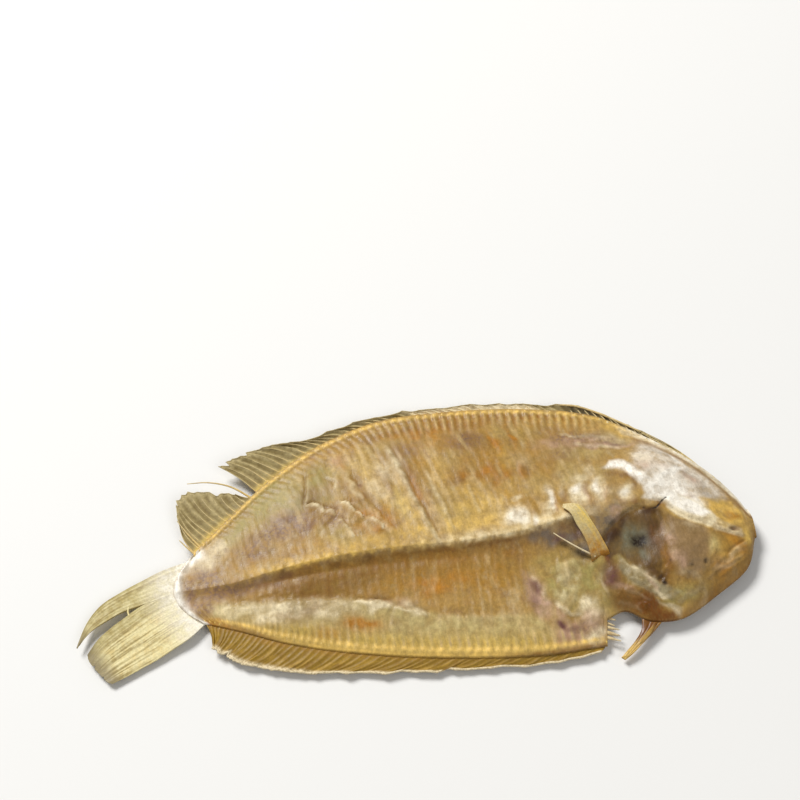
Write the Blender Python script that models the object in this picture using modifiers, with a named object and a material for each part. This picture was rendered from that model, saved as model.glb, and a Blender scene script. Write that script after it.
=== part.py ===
"""A whole dried flatfish, gutted and dried flat, lying on one side with its head at +X.

The body and head are a loft between three key lines: the back edge, the ridge over the backbone
and the belly edge. The fins are thin webs whose rulings are the fin rays. All of it is joined
into one solid, because a dried fish is one stiff piece. The key lines and the relief below are
written in millimetres and become metres where a point is made. +Z is up.
"""

import math

import bmesh
import bpy
import numpy as np

NAME = "dried_flatfish"
MM = 0.001

# The middle of the whole outline, fins included, which becomes the origin.
CENTRE = (-0.07, 0.43)

# Key lines from the tail root to the snout, one point a key station: x, y and the skin's height.
BACK_EDGE = [
    (-81, 11, 4.2), (-66, 23, 4.4), (-49, 36, 4.6), (-28, 47.5, 4.6), (-3, 54, 4.6),
    (21, 53.4, 4.6), (44, 50.5, 4.8), (63, 46.2, 5.0), (71, 43.8, 5.0), (82, 38.8, 5.2),
    (94.5, 29, 5.6), (107, 17.5, 6.0), (116, 6.5, 6.5), (122, -4, 6.5), (124.6, -10.5, 6.2),
]
RIDGE = [
    (-89, -2, 4.2), (-68, -3.4, 6.5), (-50, -1.8, 8.0), (-31, -1.4, 9.4), (-9, -1.2, 10.4),
    (15, -2.8, 11.0), (37, -4.2, 11.3), (54, -2.6, 11.5), (61, -3, 11.6), (73, -5, 12.0),
    (89, -8, 12.4), (102, -10, 12.0), (112, -12.5, 10.8), (120, -14, 9.2), (124.8, -14.8, 7.4),
]
BELLY_EDGE = [
    (-80, -15, 3.8), (-67, -20.5, 3.8), (-53, -27.3, 3.8), (-35, -34, 3.8), (-10, -41, 3.8),
    (14, -46, 3.8), (38, -49.7, 3.8), (60, -50.5, 3.6), (62.5, -41, 4.2), (70, -39.5, 4.6),
    (78, -45, 5.0), (90, -46, 5.2), (105, -39.5, 5.4), (118, -32, 5.6), (124.4, -21, 6.0),
]
LAST_KEY = len(RIDGE) - 1
CUT_START, CUT_TOP = 7, 8  # the belly is cut off square between these two key stations
EDGE_THICKNESS = 1.7
HEAD_LIFT = 3.0  # the head's underside rises this far off the table towards the snout
TAIL_ROOT_LIFT = 1.2

# How the skin falls from the ridge to an edge: share of the way out, share of the height left.
BACK_FALL = [(0, 1), (0.15, 0.95), (0.35, 0.87), (0.55, 0.74), (0.72, 0.5), (0.86, 0.24), (1, 0)]
BELLY_FALL = [(0, 1), (0.06, 0.8), (0.13, 0.62), (0.3, 0.5), (0.55, 0.42), (0.8, 0.27), (1, 0)]

# The edge ribs, which end in a row of beads where the fin rays stand.
RIB_GAP_TAIL, RIB_GAP_MID = 2.3, 3.25
RIB_GAP_GROWS_OVER = 60
RIB_DEPTH, BEAD_HEIGHT = 0.3, 0.45
LAST_RIB_KEY = 10.4
HEAD_STEP = 0.3  # key stations between sections ahead of the last rib

# Rows of the skin, as the share of the way from the ridge (0) to the back (1) or belly (-1) edge.
TOP_ROWS = [
    -1, -0.965, -0.91, -0.82, -0.7, -0.55, -0.4, -0.26, -0.14, -0.06, 0,
    0.07, 0.2, 0.34, 0.48, 0.62, 0.74, 0.84, 0.92, 0.965, 1,
]
UNDER_ROWS = [-1, -0.91, -0.7, -0.4, 0, 0.34, 0.62, 0.84, 1]
FINE_ROW = 0.72  # rows further out than this have a section at every rib and every gap
TOP_STRIDE, UNDER_STRIDE = 3, 4

FIN_THICKNESS = 0.8
RAY_DEPTH = 0.22

# Fin tips, from the tail's end of each fin to the head's.
BACK_LOBE_TIPS = [
    (-84, 24, 4.5), (-84.6, 30, 5), (-84.2, 35.4, 5.4), (-78.4, 37.3, 5.2), (-70, 36, 4.6),
    (-62, 33.5, 4),
]
BACK_FIN_TIPS = [
    (-69.2, 44.3, 6), (-61, 48.6, 6), (-47, 51, 5.8), (-31, 51.4, 5.2), (-14, 54.8, 4.8),
    (3, 57, 4.4), (17, 56.2, 4.2), (31, 55.6, 4.2), (45, 53.4, 4.4), (56, 51, 4.6),
    (63.5, 49.2, 4.8), (68.5, 48, 4.8), (74.5, 46, 5), (81.5, 41.8, 5), (89, 35.8, 5.2),
    (96, 29.8, 5.4),
]
BELLY_FIN_TIPS = [
    (-77.2, -25.5, 3.2), (-73, -29.6, 3), (-66, -34, 2.8), (-55, -38, 2.4), (-43, -40.6, 2.2),
    (-29, -43.8, 2.2), (-14, -46.4, 2.2), (1, -48.6, 2.2), (16, -50.6, 2.2), (31, -52.4, 2.2),
    (44, -53.2, 2.4), (57.5, -52.6, 2.6),
]
# Three lines along the tail: its upper edge, the split between its lobes and its lower edge.
TAIL_UPPER = [
    (-79, 10.4, 2.9), (-91, 8, 2.6), (-100, 5.2, 2.6), (-108, 2.2, 2.8), (-115.4, -1.6, 3),
    (-120.6, -7.4, 3.2), (-124.8, -16.4, 3.4),
]
TAIL_SPLIT = [
    (-81, -0.5, 2.9), (-91, -2, 2.6), (-100, -4, 2.6), (-107, -6.4, 2.8), (-113.2, -9.4, 3),
    (-118.6, -12.9, 3.2), (-123.4, -18.4, 3.4),
]
TAIL_LOWER = [
    (-78, -14.6, 2.6), (-84.6, -19.6, 2.4), (-90.8, -22.4, 2.2), (-97, -25.2, 2),
    (-103.4, -27.6, 1.8), (-109.4, -29.8, 1.8), (-114.8, -31.6, 2),
]
SPLIT_STARTS, SPLIT_FULL = 2.0, 6.0  # keys of those lines
ROOT_OVERLAP = 0.45
TAIL_SECTIONS = 8
TAIL_TATTER = 0.35

WHITE_BAND = [(77, 17), (88, 9), (93, 1), (105, -10), (112, -14), (121, -18)]
GILL_COVER_EDGE = [(64, -22), (66, -16), (69, -10), (74, -6), (80, -3), (89, -2), (96, -3)]
LOWER_GILL_RIDGE = [(72, -21), (74, -26), (79, -31), (83, -37), (90, -41)]
FOREHEAD, CHEEK, GILL_HOLLOW = (93, 11), (98, -25), (78.5, -16)

# Both eyes are on the hidden side, which was the fish's upper side when it lived.
EYES = [(105, 2.5, 3.1), (99, -9.5, 2.9)]
EYE_RADIUS, EYE_HEIGHT = 4.4, 2.0


def key_curve(keys, at, corners=()):
    """The smooth curve through the keys, read where at counts keys; it is sharp at a corner."""
    keys = np.array(keys, float)
    steps = np.diff(keys, axis=0)
    leaving = np.vstack([steps[0], (steps[1:] + steps[:-1]) / 2, steps[-1]])
    arriving = leaving.copy()
    for corner in corners:
        arriving[corner], leaving[corner] = steps[corner - 1], steps[corner]
    at = np.clip(np.asarray(at, float), 0, len(keys) - 1)
    first = np.minimum(at.astype(int), len(keys) - 2)
    f = (at - first)[..., None]
    return (
        (2 * f**3 - 3 * f**2 + 1) * keys[first]
        + (f**3 - 2 * f**2 + f) * leaving[first]
        + (3 * f**2 - 2 * f**3) * keys[first + 1]
        + (f**3 - f**2) * arriving[first + 1]
    )


def smooth_step(low, high, value):
    share = np.clip((value - low) / (high - low), 0, 1)
    return share * share * (3 - 2 * share)


def line_distance(x, y, points):
    """The distance from each x, y to an open line through the points, in millimetres."""
    nearest = np.full(np.shape(x), np.inf)
    for (ax, ay), (bx, by) in zip(points, points[1:]):
        along = ((x - ax) * (bx - ax) + (y - ay) * (by - ay)) / ((bx - ax) ** 2 + (by - ay) ** 2)
        along = np.clip(along, 0, 1)
        nearest = np.minimum(nearest, np.hypot(x - ax - along * (bx - ax), y - ay - along * (by - ay)))
    return nearest


def mound(x, y, centre, radii, height):
    """A rounded rise, or a hollow where height is negative, that fades out past its radii."""
    far = ((x - centre[0]) / radii[0]) ** 2 + ((y - centre[1]) / radii[1]) ** 2
    return height * np.exp(-far)


def rib_count(key):
    """How many edge ribs lie between the tail root and this place, counted in keys."""
    fine = np.linspace(0, LAST_KEY, 600)
    back = key_curve(BACK_EDGE, fine)[:, :2]
    steps = np.hypot(*np.diff(back, axis=0).T)
    arc = np.concatenate([[0], np.cumsum(steps)])
    gap = RIB_GAP_TAIL + (RIB_GAP_MID - RIB_GAP_TAIL) * smooth_step(0, RIB_GAP_GROWS_OVER, arc)
    count = np.concatenate([[0], np.cumsum(steps / gap[1:])])
    return np.interp(key, fine, count)


def outline_place(key, row):
    """x and y in millimetres of a point of the skin, with the ridge's and its edge's height."""
    back, ridge = key_curve(BACK_EDGE, key), key_curve(RIDGE, key)
    belly = key_curve(BELLY_EDGE, key, corners=(CUT_START, CUT_TOP))
    edge = np.where((np.asarray(row) >= 0)[..., None], back, belly)
    out = np.abs(row)
    # The tail root ends in a round scar, so the first sections bow towards the tail.
    bow = 1 - smooth_step(0, 1.2, key)
    x = ridge[..., 0] + (edge[..., 0] - ridge[..., 0]) * out ** (1 + bow)
    y = ridge[..., 1] + (edge[..., 1] - ridge[..., 1]) * out
    return x, y, ridge[..., 2], edge[..., 2]


def head_relief(x, y):
    """Millimetres that the head's bones and hollows add to the skin's height."""
    relief = mound(x, y, FOREHEAD, (17, 10), 2.6)
    relief += mound(x, y, CHEEK, (10, 11), 1.5)
    relief += mound(x, y, GILL_HOLLOW, (8.5, 9), -3.4)
    relief += 1.3 * np.exp(-((line_distance(x, y, WHITE_BAND) / 2.6) ** 2))
    relief += 0.7 * np.exp(-((line_distance(x, y, GILL_COVER_EDGE) / 2.0) ** 2))
    relief += 0.9 * np.exp(-((line_distance(x, y, LOWER_GILL_RIDGE) / 2.4) ** 2))
    return relief * smooth_step(58, 70, x)


def top_skin(key, row):
    """Points of the shown side's skin, in metres."""
    x, y, ridge_z, edge_z = outline_place(key, row)
    out = np.abs(row)
    back_side = np.asarray(row) >= 0
    fall = np.where(
        back_side,
        np.interp(out, *zip(*BACK_FALL)),
        np.interp(out, *zip(*BELLY_FALL)),
    )
    # Ahead of the gill cover the sharp ridge gives way to a plain round head.
    head = smooth_step(7.6, 9.2, key)
    fall = (1 - head) * fall + head * (1 - out**2.2)
    z = edge_z + (ridge_z - edge_z) * fall + head_relief(x, y) * (1 - out**6)
    ribbed = (key < LAST_RIB_KEY) & (back_side | (key < CUT_START))
    wave = np.cos(2 * math.pi * rib_count(key)) * ribbed
    z = z + RIB_DEPTH * wave * smooth_step(0.7, 0.84, out) * (1 - smooth_step(0.9, 0.99, out))
    z = z + BEAD_HEIGHT * (0.5 + 0.5 * wave) * np.exp(-(((out - 0.965) / 0.03) ** 2))
    return np.stack([x, y, z], axis=-1) * MM


def under_skin(key, row):
    """Points of the hidden side, in metres: flat where the fish rests, lifted towards its edges."""
    x, y, _, edge_z = outline_place(key, row)
    z = (edge_z - EDGE_THICKNESS) * smooth_step(0.42, 1, np.abs(row))
    z = np.maximum(z, HEAD_LIFT * smooth_step(78, 122, x))
    z = np.maximum(z, TAIL_ROOT_LIFT * smooth_step(62, 86, -x))
    return np.stack([x, y, z], axis=-1) * MM


def section_keys():
    """Where the sections stand: at every rib and every gap, then evenly to the snout."""
    fine = np.linspace(0, LAST_RIB_KEY, 2000)
    ribs = rib_count(fine)
    marks = np.arange(0, int(ribs[-1] * 2) + 1) / 2
    keys = np.interp(marks, ribs, fine)
    # The two corners of the belly's cut need a section of their own.
    for corner in (CUT_START, CUT_TOP):
        keys[np.argmin(np.abs(keys - corner))] = corner
    head = np.linspace(keys[-1], LAST_KEY, int((LAST_KEY - keys[-1]) / HEAD_STEP) + 1)[1:]
    return np.concatenate([keys, head])


def strided(keys, stride):
    """The keys of a coarser row: each moved back onto every stride-th one, as far as the ribs go."""
    index = np.arange(len(keys))
    return keys[np.where(keys > LAST_RIB_KEY, index, index // stride * stride)]


def material():
    skin = bpy.data.materials.new("dried_skin")
    skin.use_nodes = True
    shader = skin.node_tree.nodes["Principled BSDF"]
    shader.inputs["Base Color"].default_value = (0.52, 0.31, 0.11, 1)
    shader.inputs["Roughness"].default_value = 0.45
    shader.inputs["Metallic"].default_value = 0.0
    return skin


def object_from(name, mesh, collection):
    made = bpy.data.objects.new(name, mesh)
    collection.objects.link(made)
    return made


def build_body(collection):
    """The closed loft of body and head."""
    keys = section_keys()
    top, under = [], []
    for row in TOP_ROWS:
        own = keys if abs(row) > FINE_ROW else strided(keys, TOP_STRIDE)
        top.append(top_skin(own, np.full(len(keys), row, float)))
    for row in UNDER_ROWS:
        own = keys if abs(row) == 1 else strided(keys, UNDER_STRIDE)
        under.append(under_skin(own, np.full(len(keys), row, float)))
    body = bmesh.new()
    top = [[body.verts.new(point) for point in line] for line in top]
    under = [[body.verts.new(point) for point in line] for line in under]

    def skin(lines, outward):
        for low, high in zip(lines, lines[1:]):
            for i in range(len(keys) - 1):
                corners = [low[i], low[i + 1], high[i + 1], high[i]]
                body.faces.new(corners if outward else corners[::-1])

    skin(top, True)
    skin(under, False)
    skin([under[0], top[0]], True)
    skin([top[-1], under[-1]], True)
    for end, turned in ((0, False), (len(keys) - 1, True)):
        for j in range(len(UNDER_ROWS) - 1):
            low, high = (TOP_ROWS.index(row) for row in UNDER_ROWS[j : j + 2])
            wall = [top[k][end] for k in range(low, high + 1)]
            wall += [under[j + 1][end], under[j][end]]
            body.faces.new(wall[::-1] if turned else wall)
    bmesh.ops.remove_doubles(body, verts=body.verts, dist=1e-6)
    bmesh.ops.triangulate(body, faces=body.faces)
    bmesh.ops.recalc_face_normals(body, faces=body.faces)
    mesh = bpy.data.meshes.new(NAME)
    body.to_mesh(mesh)
    body.free()
    return object_from(NAME, mesh, collection)


def fin_object(name, rows, collection):
    """A thin fin: the open sheet through the rows of points, in millimetres, given a thickness."""
    sheet = bmesh.new()
    rows = [[sheet.verts.new(point * MM) for point in row] for row in rows]
    for low, high in zip(rows, rows[1:]):
        for i in range(len(low) - 1):
            sheet.faces.new([low[i], low[i + 1], high[i + 1], high[i]])
    bmesh.ops.recalc_face_normals(sheet, faces=sheet.faces)
    mesh = bpy.data.meshes.new(name)
    sheet.to_mesh(mesh)
    sheet.free()
    shell = object_from(name, mesh, collection).modifiers.new("thickness", "SOLIDIFY")
    shell.thickness = FIN_THICKNESS * MM
    shell.offset = 0


def web(name, root, tip, rays, steps, collection, ragged=0.0, bow=0.0):
    """A fin ruled from root to tip, with a raised ray at every second ruling."""
    at = np.linspace(0, 1, 2 * rays + 1)
    crest = np.cos(math.pi * np.arange(len(at)))
    root_line = key_curve(root, at * (len(root) - 1))
    tip_line = key_curve(tip, at * (len(tip) - 1))
    rows = []
    for along in np.linspace(0, 1, steps + 1):
        reach = along * (1 - ragged * (1 - crest) / 2)
        row = root_line + (tip_line - root_line) * reach[:, None]
        row[:, 2] += bow * 4 * along * (1 - along)
        row[:, 2] += RAY_DEPTH * crest * smooth_step(0, 0.2, along)
        rows.append(row)
    fin_object(name, rows, collection)


def fin_root(edge_keys, first, last, count, inset):
    """Root points of a fin along an edge, a little inside it, from one key to another."""
    keys = np.linspace(first, last, count)
    edge, ridge = key_curve(edge_keys, keys), key_curve(RIDGE, keys)
    inward = ridge[:, :2] - edge[:, :2]
    inward /= np.hypot(*inward.T)[:, None]
    middle = edge[:, 2] - EDGE_THICKNESS / 2
    return np.column_stack([edge[:, :2] + inset * inward, middle])


def tail_lobe(name, outer, rays, opening, collection):
    """One lobe: rays run from the root to the tip between its outer edge and the split."""
    at = np.linspace(0, len(outer) - 1, TAIL_SECTIONS)
    edge, middle = key_curve(outer, at), key_curve(TAIL_SPLIT, at)
    across = (middle - edge)[:, :2]
    across /= np.hypot(*across.T)[:, None]
    # The lobes overlap a little at the root, so that they join, and part along the split.
    shift = ROOT_OVERLAP * (1 - smooth_step(SPLIT_STARTS - 0.4, SPLIT_STARTS + 0.2, at))
    shift -= opening * smooth_step(SPLIT_STARTS, SPLIT_FULL, at)
    middle[:, :2] += across * shift[:, None]
    spacing = np.hypot(*(middle - edge)[:, :2].T) / (2 * rays)
    depth = np.minimum(RAY_DEPTH, 0.15 * spacing) * smooth_step(0.5, 2, at)
    rows = []
    for j in range(2 * rays + 1):
        row = edge + (middle - edge) * j / (2 * rays)
        row[:, 2] += depth * math.cos(math.pi * j)
        if j % 2:  # the tip is tattered: every second ruling reaches a little less far
            row[-1] += (row[-2] - row[-1]) * TAIL_TATTER
        rows.append(row)
    fin_object(name, rows, collection)


def build_fins(collection):
    """The back fin's torn lobe and its long strip, the belly fin, the tail and the chest fin."""
    web("back_lobe", fin_root(BACK_EDGE, 0.05, 1.45, 6, 1.5), BACK_LOBE_TIPS,
        10, 3, collection, ragged=0.06)
    web("back_fin", fin_root(BACK_EDGE, 1.62, 10.2, 16, 1.2), BACK_FIN_TIPS,
        32, 2, collection, ragged=0.12)
    web("belly_fin", fin_root(BELLY_EDGE[:CUT_START + 1], 0.25, 6.95, 12, 1.2), BELLY_FIN_TIPS,
        27, 2, collection, ragged=0.1)
    tail_lobe("tail_upper", TAIL_UPPER, 4, 0.8, collection)
    tail_lobe("tail_lower", TAIL_LOWER, 8, 1.1, collection)
    # The chest fin is a folded blade that stands off the skin behind the gill cover.
    web("chest_fin", [(66.5, -23, 7.6), (69.5, -19, 7.6)], [(56, 0.4, 11.6), (60.5, 1, 11.2)],
        2, 4, collection, bow=2.4)


def build_eyes(collection):
    """The two dried eyes, low domes under the head."""
    for i, (x, y, z) in enumerate(EYES):
        dome = bmesh.new()
        bmesh.ops.create_uvsphere(dome, u_segments=14, v_segments=8, radius=EYE_RADIUS * MM)
        bmesh.ops.scale(dome, verts=dome.verts, vec=(1, 1, EYE_HEIGHT / EYE_RADIUS))
        bmesh.ops.translate(dome, verts=dome.verts, vec=(x * MM, y * MM, z * MM))
        mesh = bpy.data.meshes.new(f"eye_{i}")
        dome.to_mesh(mesh)
        dome.free()
        object_from(f"eye_{i}", mesh, collection)


def rod(name, points, thick, thin, collection):
    """A round ray or bone that tapers along its points, as a closed mesh."""
    curve = bpy.data.curves.new(name, "CURVE")
    curve.dimensions = "3D"
    curve.bevel_depth = thick * MM
    curve.bevel_resolution = 1
    curve.use_fill_caps = True
    line = curve.splines.new("POLY")
    line.points.add(len(points) - 1)
    for i, (spot, point) in enumerate(zip(line.points, points)):
        spot.co = (*(value * MM for value in point), 1)
        spot.radius = 1 + (thin / thick - 1) * i / (len(points) - 1)
    made = object_from(name, curve, collection)
    bpy.context.view_layer.update()
    graph = bpy.context.evaluated_depsgraph_get()
    mesh = bpy.data.meshes.new_from_object(made.evaluated_get(graph))
    bpy.data.objects.remove(made)
    solid = bmesh.new()
    solid.from_mesh(mesh)
    bmesh.ops.remove_doubles(solid, verts=solid.verts, dist=1e-6)
    bmesh.ops.recalc_face_normals(solid, faces=solid.faces)
    solid.to_mesh(mesh)
    solid.free()
    object_from(name, mesh, collection)


def build_loose_pieces(collection):
    """The throat strap, the cut belly's rib ends, the single rays and the bone thread."""
    rod("throat_strap", [(82, -41, 3.6), (79, -46, 3.2), (74.5, -51.5, 2.8), (70, -55.2, 2.6)],
        2.6, 1.4, collection)
    for i in range(4):
        y = -41.6 - 1.7 * i
        rod(f"rib_end_{i}", [(58, y + 0.6, 3.0), (61.5, y, 3.2), (65.4 - 0.5 * i, y - 1.0, 3.2)],
            0.7, 0.35, collection)
    rod("first_ray", [(-79, 11.5, 3.2), (-82, 15, 3.6), (-84.6, 18.5, 4)], 0.5, 0.3, collection)
    rod("second_ray", [(-77, 14, 3.4), (-81, 20, 4), (-84.4, 26, 4.8)], 0.5, 0.3, collection)
    rod("loose_ray", [(-56, 31, 3.6), (-63, 36.5, 5), (-71, 39.5, 5.8), (-79, 40.4, 6)],
        0.5, 0.3, collection)
    rod("bone_thread", [(64, -20.5, 7.0), (58, -15.5, 8.6), (52, -9.6, 9.0)], 0.5, 0.35, collection)


def join_all(body, pieces):
    """One Boolean union of the body with every piece, applied, after which the pieces go."""
    union = body.modifiers.new("joined", "BOOLEAN")
    union.operation = "UNION"
    union.operand_type = "COLLECTION"
    union.collection = pieces
    union.solver = "MANIFOLD"
    bpy.context.view_layer.update()
    graph = bpy.context.evaluated_depsgraph_get()
    joined = bpy.data.meshes.new_from_object(body.evaluated_get(graph))
    body.modifiers.clear()
    body.data = joined
    for piece in list(pieces.objects):
        bpy.data.objects.remove(piece)
    bpy.data.collections.remove(pieces)


def main():
    for old in list(bpy.data.objects):
        bpy.data.objects.remove(old)
    fish = bpy.data.collections.new(NAME)
    pieces = bpy.data.collections.new("joined_pieces")
    for collection in (fish, pieces):
        bpy.context.scene.collection.children.link(collection)
    body = build_body(fish)
    build_fins(pieces)
    build_eyes(pieces)
    build_loose_pieces(pieces)
    join_all(body, pieces)
    for spot in body.data.vertices:
        spot.co.x -= CENTRE[0] * MM
        spot.co.y -= CENTRE[1] * MM
    body.data.materials.clear()
    body.data.materials.append(material())


main()
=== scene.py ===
"""A whole dried flatfish in its finished look: ribbed skin over the backbone, a bony head, torn
fins and a split tail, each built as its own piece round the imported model. Points are written in
millimetres in the fish's own layout, head at +X and back fin at +Y, and become metres when a
piece is made. Colours are written as they look on a screen.
"""

import math

import bpy
import numpy as np
from bpy.props import FloatProperty, FloatVectorProperty, IntProperty, PointerProperty
from mathutils import Matrix, Vector


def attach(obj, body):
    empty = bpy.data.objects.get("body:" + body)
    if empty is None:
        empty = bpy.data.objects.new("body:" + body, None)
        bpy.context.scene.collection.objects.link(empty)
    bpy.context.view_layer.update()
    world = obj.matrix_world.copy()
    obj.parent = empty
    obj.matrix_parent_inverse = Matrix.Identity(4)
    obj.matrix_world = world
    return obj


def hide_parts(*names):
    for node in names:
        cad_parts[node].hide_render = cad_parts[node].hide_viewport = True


bl_info = {
    "name": "Dried Flatfish",
    "version": (1, 0, 0),
    "blender": (4, 5, 0),
    "location": "3D View > Sidebar > Dried Fish",
    "description": "Builds a whole dried flatfish with ribbed skin, torn fins and a bony head",
    "category": "Add Mesh",
}

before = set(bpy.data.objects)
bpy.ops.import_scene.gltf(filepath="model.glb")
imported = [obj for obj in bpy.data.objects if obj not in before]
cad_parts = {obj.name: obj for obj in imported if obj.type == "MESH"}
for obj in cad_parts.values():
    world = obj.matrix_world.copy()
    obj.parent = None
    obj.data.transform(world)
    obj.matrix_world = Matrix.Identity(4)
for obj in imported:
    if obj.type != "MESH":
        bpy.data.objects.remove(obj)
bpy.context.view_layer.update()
NODE, BODY, SLOT = "dried_flatfish", "root", "dried_skin"
MM = 0.001
NOISE_LOW, NOISE_HIGH = 0.3, 0.7  # nearly all of a noise lies between these
BREAKUP_RANGE = (0.36, 0.64)  # the part of a noise that breaks a layer up
LOW_GLOSS, HIGH_GLOSS, FLOOR_ROUGHNESS = 0.26, 0.45, 0.75
CENTRE = (-0.07, 0.43)  # the middle of the whole outline, which the frame has as its origin

# Key lines of the solid from the tail root to the snout: x, y and the skin's height.
BACK_EDGE = [
    (-81, 11, 4.2), (-66, 23, 4.4), (-49, 36, 4.6), (-28, 47.5, 4.6), (-3, 54, 4.6), (21, 53.4, 4.6),
    (44, 50.5, 4.8), (63, 46.2, 5.0), (71, 43.8, 5.0), (82, 38.8, 5.2), (94.5, 29, 5.6), (107, 17.5, 6.0),
    (116, 6.5, 6.5), (122, -4, 6.5), (124.6, -10.5, 6.2),
]
RIDGE = [
    (-89, -2, 4.2), (-68, -3.4, 6.5), (-50, -1.8, 8.0), (-31, -1.4, 9.4), (-9, -2.0, 10.4),
    (15, -4.5, 11.0), (37, -5.0, 11.3), (54, -3.2, 11.5), (61, -3, 11.6), (73, -5, 12.0), (89, -8, 12.4),
    (102, -10, 12.0), (112, -12.5, 10.8), (120, -14, 9.2), (124.8, -14.8, 7.4),
]
BELLY_EDGE = [
    (-80, -15, 3.8), (-67, -20.5, 3.8), (-53, -27.3, 3.8), (-35, -34, 3.8), (-10, -41, 3.8), (14, -46, 3.8),
    (38, -49.7, 3.8), (60, -50.5, 3.6), (62.5, -41, 4.2), (70, -39.5, 4.6), (78, -45, 5.0), (90, -46, 5.2),
    (105, -39.5, 5.4), (118, -32, 5.6), (124.4, -21, 6.0),
]
LAST_KEY = len(RIDGE) - 1
CUT_START, CUT_TOP = 7, 8  # the belly is cut off square between these two key stations
EDGE_THICKNESS = 1.7
HEAD_LIFT, TAIL_ROOT_LIFT = 3.0, 1.2  # how far these stand off the table
HEAD_LIFTS, TAIL_LIFTS = (78, 122), (62, 86)  # how far out along the fish each lift grows
FLAT_SHARE = 0.42  # the share of the hidden side, from the middle out, that lies flat
BACK_FALL = [(0, 1), (0.15, 0.95), (0.35, 0.87), (0.55, 0.74), (0.72, 0.5), (0.86, 0.24), (1, 0)]
BELLY_FALL = [(0, 1), (0.06, 0.8), (0.13, 0.62), (0.3, 0.5), (0.55, 0.42), (0.8, 0.27), (1, 0)]
RIB_GAP_TAIL, RIB_GAP_MID, RIB_GAP_GROWS_OVER = 2.3, 3.25, 60
LAST_RIB_KEY = 10.4

# Fin tips and tail lines, from the tail's end of each fin to the head's.
BACK_LOBE_TIPS = [
    (-84, 24, 4.5), (-84.6, 30, 5), (-84.2, 35.4, 5.4), (-78.4, 37.3, 5.2), (-70, 36, 4.6), (-62, 33.5, 4),
]
BACK_FIN_TIPS = [
    (-69.2, 44.3, 6), (-61, 48.6, 6), (-47, 51, 5.8), (-31, 51.4, 5.2), (-14, 54.8, 4.8), (3, 57, 4.4),
    (17, 56.2, 4.2), (31, 55.6, 4.2), (45, 53.4, 4.4), (56, 51, 4.6), (63.5, 49.2, 4.8), (68.5, 48, 4.8),
    (74.5, 46, 5), (81.5, 41.8, 5), (89, 35.8, 5.2), (96, 29.8, 5.4),
]
BELLY_FIN_TIPS = [
    (-77.2, -25.5, 3.2), (-73, -29.6, 3), (-66, -34, 2.8), (-55, -38, 2.4), (-43, -40.6, 2.2),
    (-29, -43.8, 2.2), (-14, -46.4, 2.2), (1, -48.6, 2.2), (16, -50.6, 2.2), (31, -52.4, 2.2),
    (44, -53.2, 2.4), (57.5, -52.6, 2.6),
]
TAIL_UPPER = [
    (-79, 10.4, 2.6), (-91, 8, 3.2), (-100, 5.2, 2.8), (-108, 2.2, 2.8), (-115.4, -1.6, 3),
    (-120.6, -7.4, 3.2), (-124.8, -16.4, 3.4),
]
TAIL_SPLIT = [
    (-81, -0.5, 2.4), (-91, -2, 3.4), (-100, -4, 2.8), (-107, -6.4, 2.8), (-113.2, -9.4, 3),
    (-118.6, -12.9, 3.2), (-123.4, -18.4, 3.4),
]
TAIL_LOWER = [
    (-78, -14.6, 2.3), (-84.6, -19.6, 2.9), (-90.8, -22.4, 2.4), (-97, -25.2, 2), (-103.4, -27.6, 1.8),
    (-109.4, -29.8, 1.8), (-114.8, -31.6, 2),
]
SPLIT_STARTS, SPLIT_FULL = 2.0, 6.0  # in stations of the three tail lines
TAIL_STEPS = 61
CHEST_FIN_LEFT = [
    (62.2, -21.2, 5.5), (61.9, -19.4, 9.6), (61.5, -15.4, 11.4), (60.6, -11.4, 12.6), (59.2, -7.4, 13.4),
    (58.4, -3.6, 13.8), (57.6, -1.4, 13.4), (56, 0.8, 12.6),
]
CHEST_FIN_RIGHT = [
    (69.8, -20.6, 5.5), (68.8, -18.6, 9.8), (67.4, -14.4, 11.6), (66, -10.2, 12.8), (64.6, -6.2, 13.5),
    (63.4, -2.2, 13.6), (61.4, 1, 13), (56.6, 2, 12.4),
]
# The gristle strap at the throat, the rib ends, the bone thread and single rays.
STRAP_BACK = [
    (75.4, -38, 3.4), (75, -43, 3.6), (73.6, -47.4, 3.6), (70.6, -50.8, 3.2), (67, -53.8, 2.6),
    (64, -56, 2.2),
]
STRAP_FRONT = [
    (86.6, -40.6, 3.4), (83, -45, 3.7), (78.4, -48.6, 3.8), (73.6, -51.8, 3.4), (69, -54.8, 2.8),
    (65, -56.9, 2.2),
]
RIB_END_PLACES = (-40.6, -42.6, -44.4, -46.6, -48.6)  # how far towards the belly each one lies
THREAD = [(63.4, -19.4, 9.6), (58, -15.2, 10.4), (53, -10.6, 10.8), (50.6, -8, 10.8)]
LOOSE_RAYS = [
    [(-79, 11.5, 3.4), (-82, 15, 3.8), (-84.6, 18.5, 4.2)],
    [(-77, 14, 3.6), (-81, 20, 4.2), (-84.4, 26, 5)],
    [(-56, 31, 3.8), (-63, 36.5, 5), (-71, 39.5, 5.8), (-79, 40.4, 6)],
]
SPLIT_STRAND = [(-105.4, -4.0, 2.9), (-105.8, -5.6, 2.9), (-105.5, -7.2, 2.9)]
ROD_STEPS = 24  # points along a thread or a loose ray
THREAD_RADII, LOOSE_RAY_RADII, STRAND_RADIUS = (0.4, 0.2), (0.45, 0.16), 0.36
STRAP_ROWS, STRAP_COLUMNS, RIB_END_STEPS = 25, 41, 16

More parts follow.
